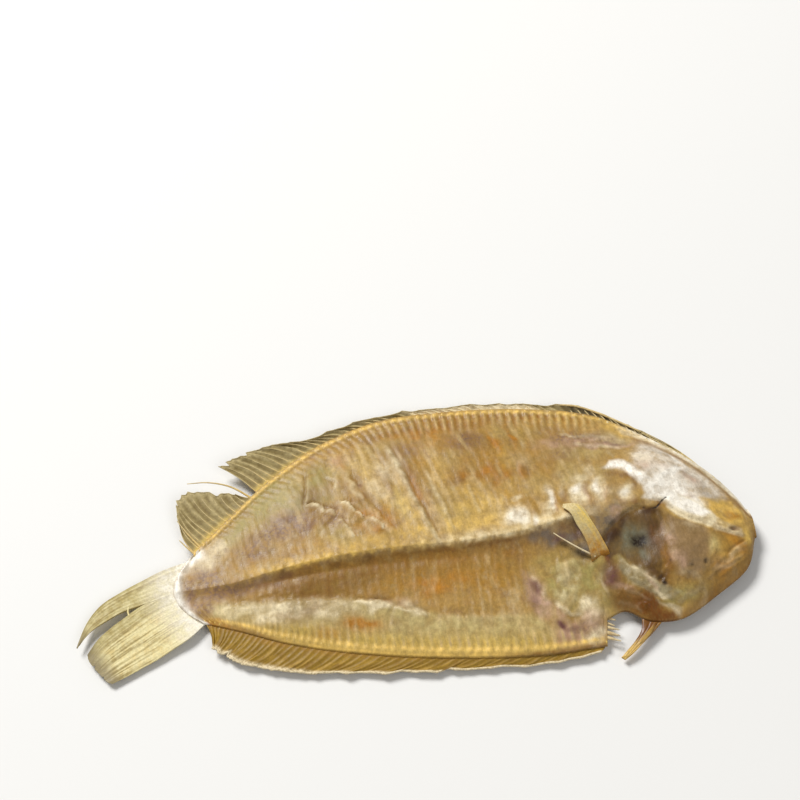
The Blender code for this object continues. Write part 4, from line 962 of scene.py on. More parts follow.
class Finish:
    """One procedural material, painted layer by layer."""

    def __init__(self, name, base):
        self.material = bpy.data.materials.new(name)
        self.material.use_nodes = True
        self.tree = self.material.node_tree
        self.shader = self.tree.nodes["Principled BSDF"]
        self.place = self.node("ShaderNodeTexCoord").outputs["Object"]
        self.colour = screen_colour(base)

    def node(self, kind, **values):
        """A new node of this kind with its own settings."""
        made = self.tree.nodes.new(kind)
        for name, value in values.items():
            setattr(made, name, value)
        return made

    def feed(self, socket, value):
        """Sets a socket to a number or links it to another socket."""
        if isinstance(value, bpy.types.NodeSocket):
            self.tree.links.new(value, socket)
        else:
            socket.default_value = value

    def maths(self, kind, first, second=0.0, clamp=False):
        """The result of a sum on two numbers or sockets, kept from 0 to 1 where clamp is set."""
        made = self.node("ShaderNodeMath", operation=kind, use_clamp=clamp)
        self.feed(made.inputs[0], first)
        self.feed(made.inputs[1], second)
        return made.outputs[0]

    def mask(self, name, strength=1.0):
        """A mask stored on the points of the mesh, weakened to this strength."""
        fac = self.node("ShaderNodeAttribute", attribute_name=name).outputs["Fac"]
        return fac if strength == 1.0 else self.maths("MULTIPLY", fac, strength)

    def noise(self, size, detail=2.0, stretch=None, rough=0.55):
        """Noise from 0 to 1 whose lumps are about this many millimetres wide."""
        made = self.node("ShaderNodeTexNoise")
        made.inputs["Scale"].default_value = 1 / (size * MM)
        made.inputs["Detail"].default_value = detail
        made.inputs["Roughness"].default_value = rough
        place = self.place
        if stretch:
            squeezed = self.node("ShaderNodeVectorMath", operation="MULTIPLY")
            self.feed(squeezed.inputs[0], place)
            squeezed.inputs[1].default_value = stretch
            place = squeezed.outputs[0]
        self.feed(made.inputs["Vector"], place)
        return made.outputs["Fac"]

    def spread(self, value, low, high, to_low=0.0, to_high=1.0):
        """Maps a value from low..high to another range, cut off at its ends."""
        made = self.node("ShaderNodeMapRange")
        self.feed(made.inputs["Value"], value)
        for name, number in zip(("From Min", "From Max", "To Min", "To Max"), (low, high, to_low, to_high)):
            made.inputs[name].default_value = number
        return made.outputs["Result"]

    def mix(self, share, second, blend="MIX"):
        """Mixes a second colour into what is there."""
        made = self.node("ShaderNodeMix", data_type="RGBA", blend_type=blend)
        for number, value in ((0, share), (6, self.colour), (7, second)):
            self.feed(made.inputs[number], value)
        self.colour = made.outputs[2]

    def layer(self, colour, share, breakup=None, amount=0.5):
        """Lays a colour over what is there, by a share that noise breaks up."""
        if breakup is not None:
            uneven = self.spread(breakup, *BREAKUP_RANGE, 1 - amount, 1 + amount)
            share = self.maths("MULTIPLY", share, uneven, clamp=True)
        self.mix(share, screen_colour(colour))

    def blotch(self, colour, noise, low, high, amount):
        """Lays a colour where noise rises from low to high, up to this amount."""
        self.layer(colour, self.spread(noise, low, high, 0, amount))

    def shade(self, noise, darkest, lightest, low=NOISE_LOW, high=NOISE_HIGH):
        """Makes what is there darker where noise is low and lighter where it is high."""
        level = self.spread(noise, low, high, darkest, lightest)
        grey = self.node("ShaderNodeCombineColor")
        for socket in grey.inputs[:3]:
            self.feed(socket, level)
        self.mix(1.0, grey.outputs[0], "MULTIPLY")

    def bump(self, height, distance, strength, under=None):
        """A normal for relief this many millimetres deep, laid over another one."""
        made = self.node("ShaderNodeBump")
        made.inputs["Distance"].default_value = distance * MM
        made.inputs["Strength"].default_value = strength
        self.feed(made.inputs["Height"], height)
        if under is not None:
            self.feed(made.inputs["Normal"], under)
        return made.outputs["Normal"]

    def finish(self, roughness, normal=None, gloss=None):
        """Links the layers to the shader and gives the material back."""
        self.feed(self.shader.inputs["Base Color"], self.colour)
        self.feed(self.shader.inputs["Roughness"], roughness)
        if normal is not None:
            self.feed(self.shader.inputs["Normal"], normal)
        if gloss is not None:
            self.shader.inputs["Specular IOR Level"].default_value = gloss
        return self.material


def colour(label, default):
    """A colour setting, as it looks on a screen."""
    return FloatVectorProperty(
        name=label, description=f"Colour of the {label.lower()}, as it looks on a screen",
        subtype="COLOR_GAMMA", size=3, min=0, max=1, default=default,
    )


def millimetres(label, text, default):
    """A length setting, in millimetres."""
    return FloatProperty(
        name=label, description=f"{text}, in millimetres", default=default, min=0.0, max=10.0,
    )


class FishSizes(bpy.types.PropertyGroup):
    """Sizes of the relief and of the small pieces."""

    skin_columns: IntProperty(
        name="Skin columns", description="Sections along the skin", default=520, min=60,
    )
    shown_rows: IntProperty(
        name="Shown rows", description="Rows of points over the shown side", default=168, min=20,
    )
    hidden_rows: IntProperty(
        name="Hidden rows", description="Rows of points over the hidden side", default=80, min=20,
    )
    rib_depth: millimetres("Rib depth", "Height of the edge ribs", 0.5)
    wrinkle_depth: millimetres("Wrinkle depth", "Height of the shrunk skin's wrinkles", 0.1)
    fold_depth: FloatProperty(
        name="Fold depth", description="Share of the full depth of folds and torn edges", default=1.0,
        min=0, subtype="FACTOR",
    )
    bead_radius: millimetres("Bead radius", "Radius of the beads that the fin rays stand on", 0.66)
    ray_radius: millimetres("Ray radius", "Radius of a fin ray where it leaves its bead", 0.3)
    fin_thickness: millimetres("Fin thickness", "Thickness of the dried fin skin", 0.3)


class FishColours(bpy.types.PropertyGroup):
    """Colours of the skin, bone and fins."""

    tan: colour("Tan skin", (0.715, 0.58, 0.335))
    # amber skin, also used as painted shade under the ridge
    amber: colour("Amber skin and painted shade", (0.61, 0.45, 0.17))
    pale: colour("Pale belly", (0.725, 0.645, 0.42))
    olive: colour("Olive skin", (0.62, 0.555, 0.315))
    purple: colour("Purple skin", (0.56, 0.43, 0.315))
    # brown skin, also used as painted shade beside folds, under the ridge and along the belly's hem
    brown: colour("Brown skin and painted shade", (0.48, 0.325, 0.12))
    # dark gill skin, also used as painted shade in the gill opening and under the ridge
    deep: colour("Dark gill skin and painted shade", (0.26, 0.155, 0.05))
    rust: colour("Rusty throat", (0.43, 0.25, 0.05))
    orange: colour("Orange skin", (0.66, 0.445, 0.13))
    gold: colour("Gold skin", (0.85, 0.70, 0.36))
    # cream skin, also used for painted highlights on lips, the ridge's crest and glints
    cream: colour("Cream skin and painted highlights", (0.88, 0.81, 0.655))
    ash: colour("Ash grey head", (0.84, 0.785, 0.70))
    # white bone, also used for painted highlights on the head and for glints
    white: colour("White bone and painted highlights", (0.965, 0.935, 0.875))
    grey: colour("Grey skin", (0.43, 0.37, 0.30))
    pink: colour("Pink skin", (0.74, 0.60, 0.50))
    # wine stains, also used as painted shade under the ridge
    wine: colour("Wine stain and painted shade", (0.42, 0.27, 0.24))
    blue: colour("Blue spot", (0.45, 0.445, 0.36))
    # dark seams, also used as painted shade deep in the head's creases
    ink: colour("Dark seams and painted crease shade", (0.17, 0.13, 0.085))
    yellow: colour("Yellow belly", (0.85, 0.725, 0.38))
    jaw: colour("Jaw skin", (0.60, 0.47, 0.24))
    cheek: colour("Cheek", (0.56, 0.45, 0.30))
    gill: colour("Gill cavity", (0.41, 0.305, 0.14))
    haze: colour("Gill membrane", (0.585, 0.53, 0.395))
    rib_gap: colour("Rib gaps", (0.55, 0.37, 0.13))
    rib_pale: colour("Pale ribs", (0.765, 0.65, 0.44))
    bead: colour("Golden beads", (0.91, 0.755, 0.41))
    fin: colour("Fin skin", (0.47, 0.395, 0.22))
    pleat: colour("Fin pleats", (0.74, 0.67, 0.48))
    ray: colour("Fin rays", (0.84, 0.76, 0.56))
    belly_fin: colour("Belly fin skin", (0.56, 0.435, 0.13))
    belly_ray: colour("Belly fin rays", (0.66, 0.52, 0.19))
    tail_root: colour("Tail root", (0.965, 0.935, 0.86))
    tail: colour("Tail skin", (0.90, 0.845, 0.625))
    streak: colour("Tail streaks", (0.64, 0.56, 0.34))
    hidden: colour("Hidden side", (0.36, 0.27, 0.15))


class FishStage(bpy.types.PropertyGroup):
    """The floor, the lights and the camera."""

    floor: colour("Floor", (0.93, 0.925, 0.91))
    key_power: FloatProperty(
        name="Key light", description="Power of the main light", default=67.0, min=0, unit="POWER",
    )
    fill_power: FloatProperty(
        name="Fill light", description="Power of the soft fill", default=15.0, min=0, unit="POWER",
    )
    lens: FloatProperty(name="Lens", description="Focal length in millimetres", default=60.0, min=10)


def column_keys(count):
    """Sections evenly along the fish, with one on each corner of the belly's cut."""
    fine = np.linspace(0, LAST_KEY, 4000)
    arc = np.zeros(len(fine))
    for line in (BACK_EDGE, RIDGE, BELLY_EDGE):
        arc[1:] += np.cumsum(np.hypot(*np.diff(key_curve(line, fine)[:, :2], axis=0).T))
    keys = np.interp(np.linspace(0, arc[-1], count), arc, fine)
    for corner in (CUT_START, CUT_TOP):
        keys[np.argmin(np.abs(keys - corner))] = corner
    return keys


def row_places(count):
    """Rows from the belly edge (-1) to the back edge (1), closer at the ridge and the edges."""
    fine = np.linspace(-1, 1, 2001)
    closeness = 1 + 0.7 * hump(np.abs(fine) - 0.95, 0.12) + 0.8 * hump(fine, 0.06)
    arc = np.cumsum(closeness)
    rows = np.interp(np.linspace(arc[0], arc[-1], count), arc, fine)
    rows[np.argmin(np.abs(rows))] = 0
    return rows


def skin_grid(columns, rows):
    """Where each point of one side's skin lies, row by row from the belly to the back."""
    return skin_place(*np.meshgrid(column_keys(columns), row_places(rows)))


def rounded_rim(edge, rim_z, outward):
    """Lines of points from the skin's edge out and down to the rim, a quarter turn in all."""
    drop = np.abs(edge[:, 2] - rim_z)
    lines = []
    for i in range(1, RIM_STEPS + 1):
        turn = math.pi / 2 * i / RIM_STEPS
        line = edge.copy()
        line[:, :2] += outward * (RIM_BULGE * drop * math.sin(turn))[:, None]
        line[:, 2] = rim_z + (edge[:, 2] - rim_z) * math.cos(turn)
        lines.append(line)
    return np.stack(lines)


def half_skin(name, place, z, material, masks, upward):
    """One side of the fish as a closed half: its skin, a rounded rim and a hidden inner face."""
    skin = np.stack([place["x"], place["y"], z], axis=-1)
    belly, back = (
        rounded_rim(skin[edge], place["rim_z"][edge], place["outward"][edge]) for edge in (0, -1)
    )
    grid = np.concatenate([belly[::-1], skin, back])
    # The snout closes in a short rounded wall.
    closing = []
    snout = grid[:, -1]
    middle = snout.mean(axis=0)
    for share, push in SNOUT_STEPS:
        ring = middle + (snout - middle) * (1, 1, share)
        ring[:, 0] += push
        closing.append(ring[:, None])
    # The tail root ends in an upright wall, so that nothing under it comes near the skin.
    foot = grid[:, :1].copy()
    foot[..., 0] -= TAIL_WALL_GAP
    foot[..., 2] = np.linspace(foot[0, 0, 2], foot[-1, 0, 2], len(foot))[:, None]
    grid = np.concatenate([foot, grid, *closing], axis=1)
    grown = (RIM_STEPS, RIM_STEPS), (1, len(SNOUT_STEPS))
    spread = {key: np.pad(mask, grown, mode="edge").ravel() for key, mask in masks.items()}
    high, wide = grid.shape[:2]
    faces = list(grid_faces(high, wide, turned=not upward))
    low, top = np.arange(wide), (high - 1) * wide + np.arange(wide)
    for i in range(wide - 1):
        inner = (low[i], top[i], top[i + 1], low[i + 1])
        faces.append(inner if upward else inner[::-1])
    for i, turned in ((0, upward), (wide - 1, not upward)):
        wall = tuple(j * wide + i for j in range(high))
        faces.append(wall if turned else wall[::-1])
    shape = Shape()
    shape.add(grid, faces, **spread)
    return shape.build(name, material)


def shown_finish(colours):
    """Dried, half-glossy skin of the shown side."""
    skin = Finish("dried_skin_shown", colours.tan)
    broad, mottle, fine = skin.noise(16, 3), skin.noise(3.6, 3), skin.noise(1.2, 2)
    fibre = skin.noise(0.8, 3, stretch=(1, 0.22, 1))
    skin.blotch(colours.amber, broad, 0.4, 0.66, 0.5)
    skin.blotch(colours.amber, mottle, 0.45, 0.7, 0.5)
    skin.blotch(colours.purple, skin.noise(5.5, 3), 0.5, 0.68, 0.5)
    skin.blotch(colours.cream, skin.noise(4.4, 3, stretch=(1.3, 0.6, 1)), 0.56, 0.74, 0.4)
    skin.blotch(colours.gold, fine, 0.55, 0.8, 0.2)
    # brown, amber, deep and wine carry painted shade as well as skin colour; cream and white carry painted
    # highlights as well
    for name, breakup, amount in (
        ("jaw", mottle, 0.1), ("amber", mottle, 0.5), ("olive", mottle, 0.4), ("pale", mottle, 0.35),
        ("yellow", fibre, 0.3), ("purple", fine, 0.6), ("cheek", mottle, 0.15), ("ash", mottle, 0.4),
        ("gold", mottle, 0.45), ("brown", mottle, 0.35), ("grey", mottle, 0.45), ("gill", mottle, 0.25),
        ("haze", mottle, 0.45), ("orange", mottle, 0.45), ("pink", mottle, 0.5), ("rib_gap", mottle, 0.4),
        ("rib_pale", mottle, 0.4), ("cream", mottle, 0.5), ("deep", mottle, 0.3), ("rust", fibre, 0.35),
        ("blue", mottle, 0.3), ("wine", mottle, 0.35), ("bead", mottle, 0.3), ("white", mottle, 0.3),
    ):
        skin.layer(getattr(colours, name), skin.mask(name), breakup, amount)
    grains = skin.maths("MULTIPLY", skin.mask("purple"), skin.spread(fine, 0.5, 0.68, 0, 0.55))
    skin.layer(colours.grey, grains)
    # cream laid on the folds' lips as a painted highlight
    skin.layer(colours.cream, skin.mask("lip_highlight", 0.85), mottle, 0.4)
    # the head's pale rim in cream, with white over it as a painted highlight where the rim faces away from
    # the key light
    skin.layer(colours.cream, skin.mask("rim"), mottle, 0.3)
    skin.layer(colours.white, skin.mask("rim", 0.45), mottle, 0.5)
    # ink: dark seams and spots, and painted shade deep in the head's creases
    skin.layer(colours.ink, skin.mask("ink"), fine, 0.3)
    speckle = skin.noise(0.5, 2, rough=0.7)
    skin.shade(fibre, 0.9, 1.08)
    skin.shade(mottle, 0.84, 1.12)
    skin.shade(broad, 0.92, 1.06, *BREAKUP_RANGE)
    skin.shade(fine, 0.9, 1.09)
    skin.shade(speckle, 0.93, 1.06)
    roughness = skin.spread(mottle, NOISE_LOW, NOISE_HIGH, 0.32, 0.52)
    roughness = skin.maths("SUBTRACT", roughness, skin.mask("white", 0.14), clamp=True)
    normal = skin.bump(mottle, 0.3, 0.5)
    normal = skin.bump(fibre, 0.14, 0.5, normal)
    normal = skin.bump(speckle, 0.08, 0.7, normal)
    return skin.finish(roughness, normal, gloss=LOW_GLOSS)


def hidden_finish(colours):
    """The darker skin of the side that the fish lies on."""
    skin = Finish("dried_skin_hidden", colours.hidden)
    broad, mottle, fine = skin.noise(13, 3), skin.noise(3.2, 3), skin.noise(1.1, 3)
    skin.blotch(colours.brown, broad, 0.4, 0.65, 0.8)
    skin.blotch(colours.olive, mottle, 0.5, 0.75, 0.45)
    skin.layer(colours.ink, skin.spread(skin.noise(6.5, 2), 0.58, 0.7, 0, 0.5), fine, 0.5)
    skin.layer(colours.rib_pale, skin.mask("rib_pale", 0.45), fine, 0.5)
    skin.layer(colours.bead, skin.mask("bead", 0.8), fine, 0.3)
    skin.layer(colours.ink, skin.mask("ink", 0.8), fine, 0.3)
    grain = skin.noise(0.5, 2, rough=0.7)
    skin.shade(grain, 0.82, 1.12)
    normal = skin.bump(grain, 0.12, 0.7, skin.bump(mottle, 0.2, 0.4))
    roughness = skin.spread(mottle, NOISE_LOW, NOISE_HIGH, 0.36, 0.56)
    return skin.finish(roughness, normal, gloss=HIGH_GLOSS)


def fin_finish(name, colours, base, ray, edge, root, mottled):
    """Thin dried fin skin, paler along its rays and at its free edge."""
    fin = Finish(name, base)
    mottle, fine = fin.noise(2.6, 3), fin.noise(0.7, 3)
    fin.blotch(mottled, mottle, 0.45, 0.7, 0.4)
    fin.layer(colours.olive, fin.mask("tint", 0.55), mottle, 0.3)
    fin.layer(ray, fin.mask("ray"), mottle, 0.35)
    fin.layer(root, fin.mask("root"), mottle, 0.4)
    fin.layer(colours.cream, fin.mask("pale"), mottle, 0.4)
    fin.layer(colours.ink, fin.mask("dark", 0.6), mottle, 0.4)
    fin.layer(edge, fin.mask("edge"), fine, 0.35)
    fin.shade(fine, 0.84, 1.12)
    normal = fin.bump(fine, 0.1, 0.6, fin.bump(mottle, 0.15, 0.4))
    roughness = fin.spread(mottle, NOISE_LOW, NOISE_HIGH, 0.38, 0.6)
    return fin.finish(roughness, normal, gloss=LOW_GLOSS)


def bone_finish(name, colours, base, tip):
    """Ray bone: golden at the bead, paler towards its tip."""
    bone = Finish(name, base)
    fine = bone.noise(0.8, 3)
    bone.layer(tip, bone.mask("tip"))
    bone.layer(colours.amber, bone.spread(bone.noise(2.4, 2), 0.5, 0.75, 0, 0.4), fine, 0.4)
    bone.shade(fine, 0.82, 1.15)
    return bone.finish(0.36, bone.bump(fine, 0.06, 0.6), gloss=HIGH_GLOSS)


def fin_rays(edge_keys, tips, numbers, tip_span, bend, seed, slant=0):
    """Lines of the fin rays from their beads to the fin's tip line, and the draw that bent them."""
    keys, edge, inward = rib_roots(edge_keys, numbers)
    start = np.column_stack([edge[:, :2] + RAY_INSET * inward, edge[:, 2] - EDGE_THICKNESS / 2])
    share = (keys - tip_span[0]) / (tip_span[1] - tip_span[0])
    end = key_curve(tips, (share - slant) * (len(tips) - 1))
    draw = np.random.default_rng(seed)
    end = end + draw.normal(0, 1, (len(end), 3)) * TIP_SCATTER
    steps = np.linspace(0, 1, RAY_STEPS)[:, None]
    rays = []
    for a, b, lean in zip(start, end, bend * (1 + 0.3 * draw.normal(0, 1, len(end)))):
        across = np.array([-(b - a)[1], (b - a)[0], 0])
        rays.append(a + (b - a) * steps + across * lean * np.sin(math.pi * steps) ** 1.2)
    return np.array(rays), draw


def fin_membrane(
    shape, rays, draw, thickness, tatter, tears,
    sag=0.12, streaks=None, tip_round=0.0, edge_from=0.84, root_to=0.35, **spans,
):
    """The skin between the rays, as one closed plate with a torn free edge, which it returns.

    It has a pleat to each ray, or streaks that ignore the rays where a seed for them is given.
    Each span is a mask that covers the rays from its first number to its last.
    """
    count, steps = rays.shape[:2]
    columns = (count - 1) * FIN_COLUMNS + 1
    at = np.linspace(0, count - 1, columns)
    i = np.minimum(at.astype(int), count - 2)
    f = (at - i)[:, None, None]
    lines = rays[i] * (1 - f) + rays[i + 1] * f
    between = np.sin(math.pi * (at - np.floor(at)))
    reach = 1 - tatter * between * np.repeat(draw.uniform(0.2, 1, count), FIN_COLUMNS)[:columns]
    reach -= 0.5 * tatter * (1 + lumps(at, 0, 1.7, 97)) + tip_round * np.abs(2 * at / (count - 1) - 1) ** 6
    for tear, depth in tears:
        reach = np.minimum(reach, 1 - depth * hump(at - tear, TEAR_WIDTH))
    s = np.linspace(0, 1, steps)
    skin = np.empty_like(lines)
    for column in range(columns):
        for axis in range(3):
            skin[column, :, axis] = np.interp(s * reach[column], s, lines[column, :, axis])
    over, along = np.meshgrid(at, s, indexing="ij")
    skin[..., 2] -= sag * between[:, None] * np.sin(math.pi * s)[None] ** 0.5
    if streaks is None:
        ray = hump((over - np.round(over)) * FIN_COLUMNS, PLEAT_COLUMNS)
        ray = ray * (0.75 + 0.3 * lumps(over, along * 4, 0.9, 98))
        thick = thickness * (0.75 + 0.9 * ray) * (1 - 0.6 * along)
        skin[..., 2] += 0.3 * lumps(over, along * 2.5, 1.4, 94) * smooth_step(0.1, 0.8, along)
    else:
        run = lumps(over, along * 0.7, 0.34, streaks) + 0.6 * lumps(over, along * 1.3, 0.17, streaks + 1)
        ray = smooth_step(-0.4, 1.2, run + 0.6 * lumps(over, along * 5, 1.3, streaks + 2))
        thick = thickness * (1 + 0.1 * run * smooth_step(0, 0.4, along)) * (1 - 0.5 * along**3)
        skin[..., 2] += 0.3 * lumps(over, along, 1.6, streaks + 3) * smooth_step(0.2, 1, along)
    bands = {
        name: smooth_step(first - 2, first, over) * smooth_step(last + 2, last, over)
        for name, (first, last) in spans.items()
    }
    edge, root = smooth_step(edge_from, 1, along), 1 - smooth_step(0, root_to, along)
    add_plate(shape, skin, thick, ray=ray, edge=edge, root=root, **bands)
    return skin[:, -1]


def bead_rods(shape, edge_keys, numbers, rays, sizes, reaches, scale, pale=0):
    """Each ray's rod: it rises from the skin, swells to a bead at the edge and tapers in the fin."""
    _, edge, inward = rib_roots(edge_keys, numbers)
    pale, reaches = np.broadcast_to(pale, len(rays)), np.broadcast_to(reaches, len(rays))
    for line, spot, way, size, light, reach in zip(rays, edge, inward, scale, pale, reaches):
        path, radii, tips = [], [], []
        for inset, swell, lift in BEAD_PROFILE:
            path.append((*(spot[:2] + way * inset), spot[2] - BEAD_DROP + lift))
            radii.append(sizes.bead_radius * swell * size)
            tips.append(max(0.12 * inset, light))
        for share in np.linspace(0.1, 1, 8) * reach:
            path.append([np.interp(share, np.linspace(0, 1, len(line)), line[:, k]) for k in range(3)])
            radii.append(sizes.ray_radius * size * (1 - 0.7 * share / reach))
            tips.append(min(1, max(light, 0.2 + share * 2.0)))
        add_tube(shape, path, radii, tip=tips)


def head_lift(x):
    """How far the hidden side of the head stands off the table at this place along the fish."""
    return HEAD_LIFT * smooth_step(*HEAD_LIFTS, x)


class FishPiece:
    """What the fish's operators share: their options and what they read."""

    bl_options = {"REGISTER", "UNDO"}

    @property
    def sizes(self):
        """The sizes set in this scene."""
        return bpy.context.scene.dried_fish_sizes

    @property
    def colours(self):
        """The colours set in this scene."""
        return bpy.context.scene.dried_fish_colours

    @property
    def stage(self):
        """The floor, lights and camera set in this scene."""
        return bpy.context.scene.dried_fish_stage


class DRIEDFISH_OT_shown_skin(FishPiece, bpy.types.Operator):
    """Builds the shown side's skin with its ridge, ribs, creases and head bones"""

    bl_idname = "dried_fish.shown_skin"
    bl_label = "Shown Side"

    def execute(self, context):
        place = skin_grid(self.sizes.skin_columns, self.sizes.shown_rows)
        z, relief = shown_height(place, self.sizes)
        masks = shown_masks(place, relief)
        half_skin("shown_skin", place, z, shown_finish(self.colours), masks, True)
        return {"FINISHED"}


class DRIEDFISH_OT_hidden_skin(FishPiece, bpy.types.Operator):
    """Builds the side that the fish lies on, with its own ribs and gill cover"""

    bl_idname = "dried_fish.hidden_skin"
    bl_label = "Hidden Side"

    def execute(self, context):
        place = skin_grid(self.sizes.skin_columns, self.sizes.hidden_rows)
        x, y, key, out, inset = (place[name] for name in ("x", "y", "key", "out", "inset"))
        z = (place["edge_z"] - EDGE_THICKNESS) * smooth_step(FLAT_SHARE, 1, out)
        z = np.maximum(z, head_lift(x))
        z = np.maximum(z, TAIL_ROOT_LIFT * smooth_step(*TAIL_LIFTS, -x))
        wave, strength = rib_wave(place)
        z = z + HIDDEN_RIB_DEPTH * (1 - wave) * strength * smooth_step(0.4, 1.8, inset)
        wrinkle, crease = (0.5 + 0.5 * lumps(x, y, *noise) for noise in ((3.2, 71), (1.2, 72)))
        z = z + HIDDEN_WRINKLE * wrinkle + HIDDEN_CREASE * crease
        side_line = hump(y - SIDE_LINE_AT, 0.8) * smooth_step(72, 60, x)
        gill, cheek, mouth = (line_offset(x, y, line)[0] for line in (GILL_SLIT, CHEEK_LINE, MOUTH))
        cuts = hump(gill, 1.1) + 0.6 * hump(cheek, 0.9) + hump(mouth, 0.7)
        sockets = sum(np.exp(-((np.hypot(x - ex, y - ey) / SOCKET_RADIUS) ** 6)) for ex, ey in EYES)
        z = z + 0.5 * side_line + np.minimum(cuts, 1) + 0.6 * sockets
        z[[0, -1]] = place["edge_z"][[0, -1]] - EDGE_THICKNESS
        z = np.minimum(z, place["rim_z"] - HIDDEN_GAP)
        masks = {
            "rib_pale": np.clip(strength * wave, 0, 1),
            "bead": hump(inset - 1, 1.3) * (0.3 + 0.7 * wave) * (key < LAST_RIB_KEY),
            "ink": np.clip(0.8 * np.minimum(cuts, 1) + 0.4 * side_line, 0, 1),
        }
        half_skin("hidden_skin", place, z, hidden_finish(self.colours), masks, False)
        return {"FINISHED"}


class DRIEDFISH_OT_back_fin(FishPiece, bpy.types.Operator):
    """Builds the back fin: the torn lobe near the tail, the long folded strip and their beads"""

    bl_idname = "dried_fish.back_fin"
    bl_label = "Back Fin"

    def execute(self, context):
        sizes, colours = self.sizes, self.colours
        skin, rods = Shape(), Shape()
        for ribs, tips, span, bend, seed, tears, bands in BACK_FIN_PARTS:
            numbers = np.arange(ribs[0], ribs[1] + 1)
            headward = smooth_step(50, 56, numbers)
            rays, draw = fin_rays(BACK_EDGE, tips, numbers, span, bend, seed, slant=0.02 * headward)
            free = fin_membrane(
                skin, rays, draw, sizes.fin_thickness, 0.04, tears, sag=0.5, root_to=0.2, **bands,
            )
            add_tube(skin, free[::2], BACK_HEM_RADIUS, 6, edge=1)
            scale = 0.72 + 0.16 * smooth_step(2, 30, numbers) + 0.08 * draw.normal(0, 1, len(numbers))
            bead_rods(rods, BACK_EDGE, numbers, rays, sizes, 0.8 + 0.18 * headward, scale, headward)
        cord = key_curve(BACK_FIN_TIPS, np.linspace(*FREE_CORD, CORD_STEPS))
        cord[:, 2] += 0.15 * lumps(cord[:, 0], cord[:, 1], 2.4, 96)
        add_tube(rods, cord, CORD_RADIUS - 0.3 * np.abs(np.linspace(-1, 1, CORD_STEPS)) ** 6, tip=0.8)
        skin.build("back_fin", fin_finish(
            "back_fin_skin", colours, colours.fin, colours.pleat, colours.pleat, colours.yellow,
            colours.olive,
        ))
        rods.build("back_fin_rays", bone_finish("ray_bone", colours, colours.bead, colours.ray))
        return {"FINISHED"}


class DRIEDFISH_OT_belly_fin(FishPiece, bpy.types.Operator):
    """Builds the belly fin with its crinkled cream edge and its beads"""

    bl_idname = "dried_fish.belly_fin"
    bl_label = "Belly Fin"

    def execute(self, context):
        sizes, colours = self.sizes, self.colours
        skin, rods = Shape(), Shape()
        numbers = np.arange(BELLY_FIN_RIBS[0], BELLY_FIN_RIBS[1] + 1)
        slant = 0.085 * np.sin(np.linspace(0, math.pi, len(numbers))) ** 0.5
        uncut = BELLY_EDGE[: CUT_START + 1]
        rays, draw = fin_rays(uncut, BELLY_FIN_TIPS, numbers, BELLY_FIN_SPAN, 0.05, 83, slant)
        free = fin_membrane(
            skin, rays, draw, sizes.fin_thickness, 0.03, BELLY_FIN_TEARS, sag=0.2, streaks=84,
            edge_from=0.8,
        )
        free[:, 2] += 0.25 * lumps(free[:, 0], free[:, 1], 3.0, 99)
        add_tube(skin, free[::2], BELLY_HEM_RADIUS, edge=1)
        scale = 0.62 + 0.05 * draw.normal(0, 1, len(numbers))
        bead_rods(rods, uncut, numbers, rays, sizes, 0.4, scale)
        skin.build("belly_fin", fin_finish(
            "belly_fin_skin", colours, colours.belly_fin, colours.belly_ray, colours.cream, colours.amber,
            colours.brown,
        ))
        rods.build("belly_fin_rays", bone_finish(
            "belly_ray_bone", colours, colours.yellow, colours.belly_fin,
        ))
        return {"FINISHED"}


def tail_rays(outer, count, opening):
    """Rulings of one tail lobe, from its outer edge to the split between the lobes."""
    keys = np.linspace(0, 1, TAIL_STEPS) * (len(outer) - 1)
    edge, middle = key_curve(outer, keys), key_curve(TAIL_SPLIT, keys)
    across = (middle - edge)[:, :2]
    across /= np.hypot(*across.T)[:, None]
    shift = 0.6 * (1 - smooth_step(SPLIT_STARTS - 0.6, SPLIT_STARTS, keys))
    shift -= opening[0] * smooth_step(SPLIT_STARTS - 0.2, SPLIT_STARTS + 1.4, keys)
    shift -= opening[1] * smooth_step(SPLIT_STARTS + 1, SPLIT_FULL, keys)
    middle[:, :2] += across * shift[:, None]
    middle[:, 2] -= 0.35 * smooth_step(SPLIT_STARTS, SPLIT_FULL, keys)
    return edge + (middle - edge) * np.linspace(0, 1, count)[:, None, None]


class DRIEDFISH_OT_tail_fin(FishPiece, bpy.types.Operator):
    """Builds the two lobes of the tail fin with their tattered tips and the strand across the split"""

    bl_idname = "dried_fish.tail_fin"
    bl_label = "Tail Fin"

    def execute(self, context):
        colours = self.colours
        tail = Shape()
        for outer, count, opening, seed, tears, bands in TAIL_LOBES:
            rays, draw = tail_rays(outer, count, opening), np.random.default_rng(seed)
            fin_membrane(
                tail, rays, draw, TAIL_THICKNESS, 0.006, tears, sag=0.03, streaks=seed,
                tip_round=0.03, edge_from=0.8, root_to=0.42, **bands,
            )
        add_tube(tail, key_curve(SPLIT_STRAND, np.linspace(0, 2, 8)), STRAND_RADIUS)
        tail.build("tail_fin", fin_finish(
            "tail_skin", colours, colours.tail, colours.streak, colours.haze, colours.tail_root,
            colours.gold,
        ))
        return {"FINISHED"}


